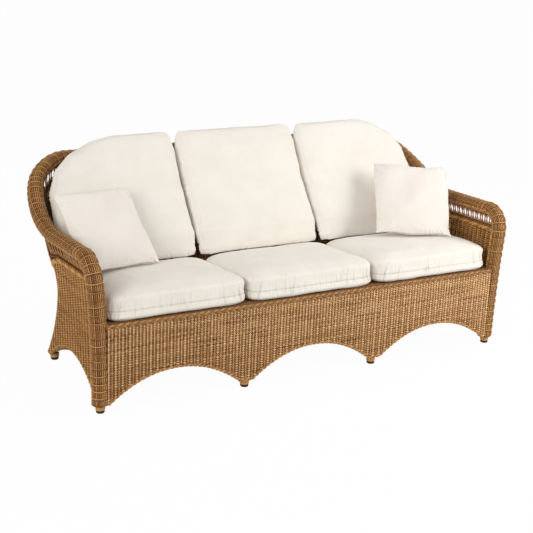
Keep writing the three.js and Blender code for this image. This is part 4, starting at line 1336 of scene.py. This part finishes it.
def add_floor():
    """A pale floor that the camera sees as nearly white."""
    bpy.ops.mesh.primitive_plane_add(size=FLOOR_SIZE, location=(0, 0, 0))
    floor = bpy.context.object
    floor.name = "floor"
    material, nodes, links, shader = tree_of("floor_white")
    put(shader, Base_Color=(0.9, 0.9, 0.9, 1), Roughness=0.9)
    glow = nodes.new("ShaderNodeEmission")
    put(glow, Strength=1.0)
    light_path = nodes.new("ShaderNodeLightPath")
    share = nodes.new("ShaderNodeMath")
    share.operation = "MULTIPLY"
    share.inputs[1].default_value = FLOOR_GLOW
    links.new(light_path.outputs["Is Camera Ray"], share.inputs[0])
    add_blend(nodes, links, share.outputs[0], shader, glow, "Material Output")
    floor.data.materials.append(material)


def set_world():
    """Soft light from all round, seen by the camera as white."""
    world = bpy.data.worlds.new("studio")
    scene.world = world
    world.use_nodes = True
    nodes, links = world.node_tree.nodes, world.node_tree.links
    fill = nodes["Background"]
    put(fill, Color=(1.0, 0.985, 0.96, 1), Strength=WORLD_FILL)
    white = nodes.new("ShaderNodeBackground")
    put(white, Color=(1, 1, 1, 1), Strength=1.0)
    light_path = nodes.new("ShaderNodeLightPath")
    add_blend(nodes, links, light_path.outputs["Is Camera Ray"], fill, white, "World Output")


def add_light(name, place, target, size, power, colour):
    data = bpy.data.lights.new(name, "AREA")
    data.size = size
    data.energy = power
    data.color = colour
    light = add_object(name, data)
    light.location = place
    light.rotation_euler = (Vector(target) - Vector(place)).to_track_quat("-Z", "Y").to_euler()


def add_camera():
    data = bpy.data.cameras.new("camera")
    data.sensor_width = SENSOR_WIDTH
    data.lens = CAMERA_LENS
    camera = add_object("camera", data)
    right = Vector((math.cos(CAMERA_YAW), math.sin(CAMERA_YAW), 0))
    level = Vector((-math.sin(CAMERA_YAW), math.cos(CAMERA_YAW), 0))
    upright = Vector((0, 0, 1))
    forward = level * math.cos(CAMERA_PITCH) - upright * math.sin(CAMERA_PITCH)
    tilt = upright * math.cos(CAMERA_PITCH) + level * math.sin(CAMERA_PITCH)
    across = right * math.cos(CAMERA_ROLL) + tilt * math.sin(CAMERA_ROLL)
    up = tilt * math.cos(CAMERA_ROLL) - right * math.sin(CAMERA_ROLL)
    place = Vector(CAMERA_PLACE) + Vector((0, BASE_SHIFT, 0))
    turn = Matrix((across, up, -forward)).transposed().to_4x4()
    camera.matrix_world = Matrix.Translation(place) @ turn
    scene.camera = camera


def set_stage():
    add_floor()
    set_world()
    for light in LIGHTS:
        add_light(*light)
    scene.view_settings.view_transform = "Standard"
    add_camera()


dress_nodes()
add_apron()
add_walls()
add_front_hem()
add_wall_hems()
add_edge_rope()
add_mouldings()
add_openwork()
add_roll()
add_feet()
add_cushions()
set_stage()
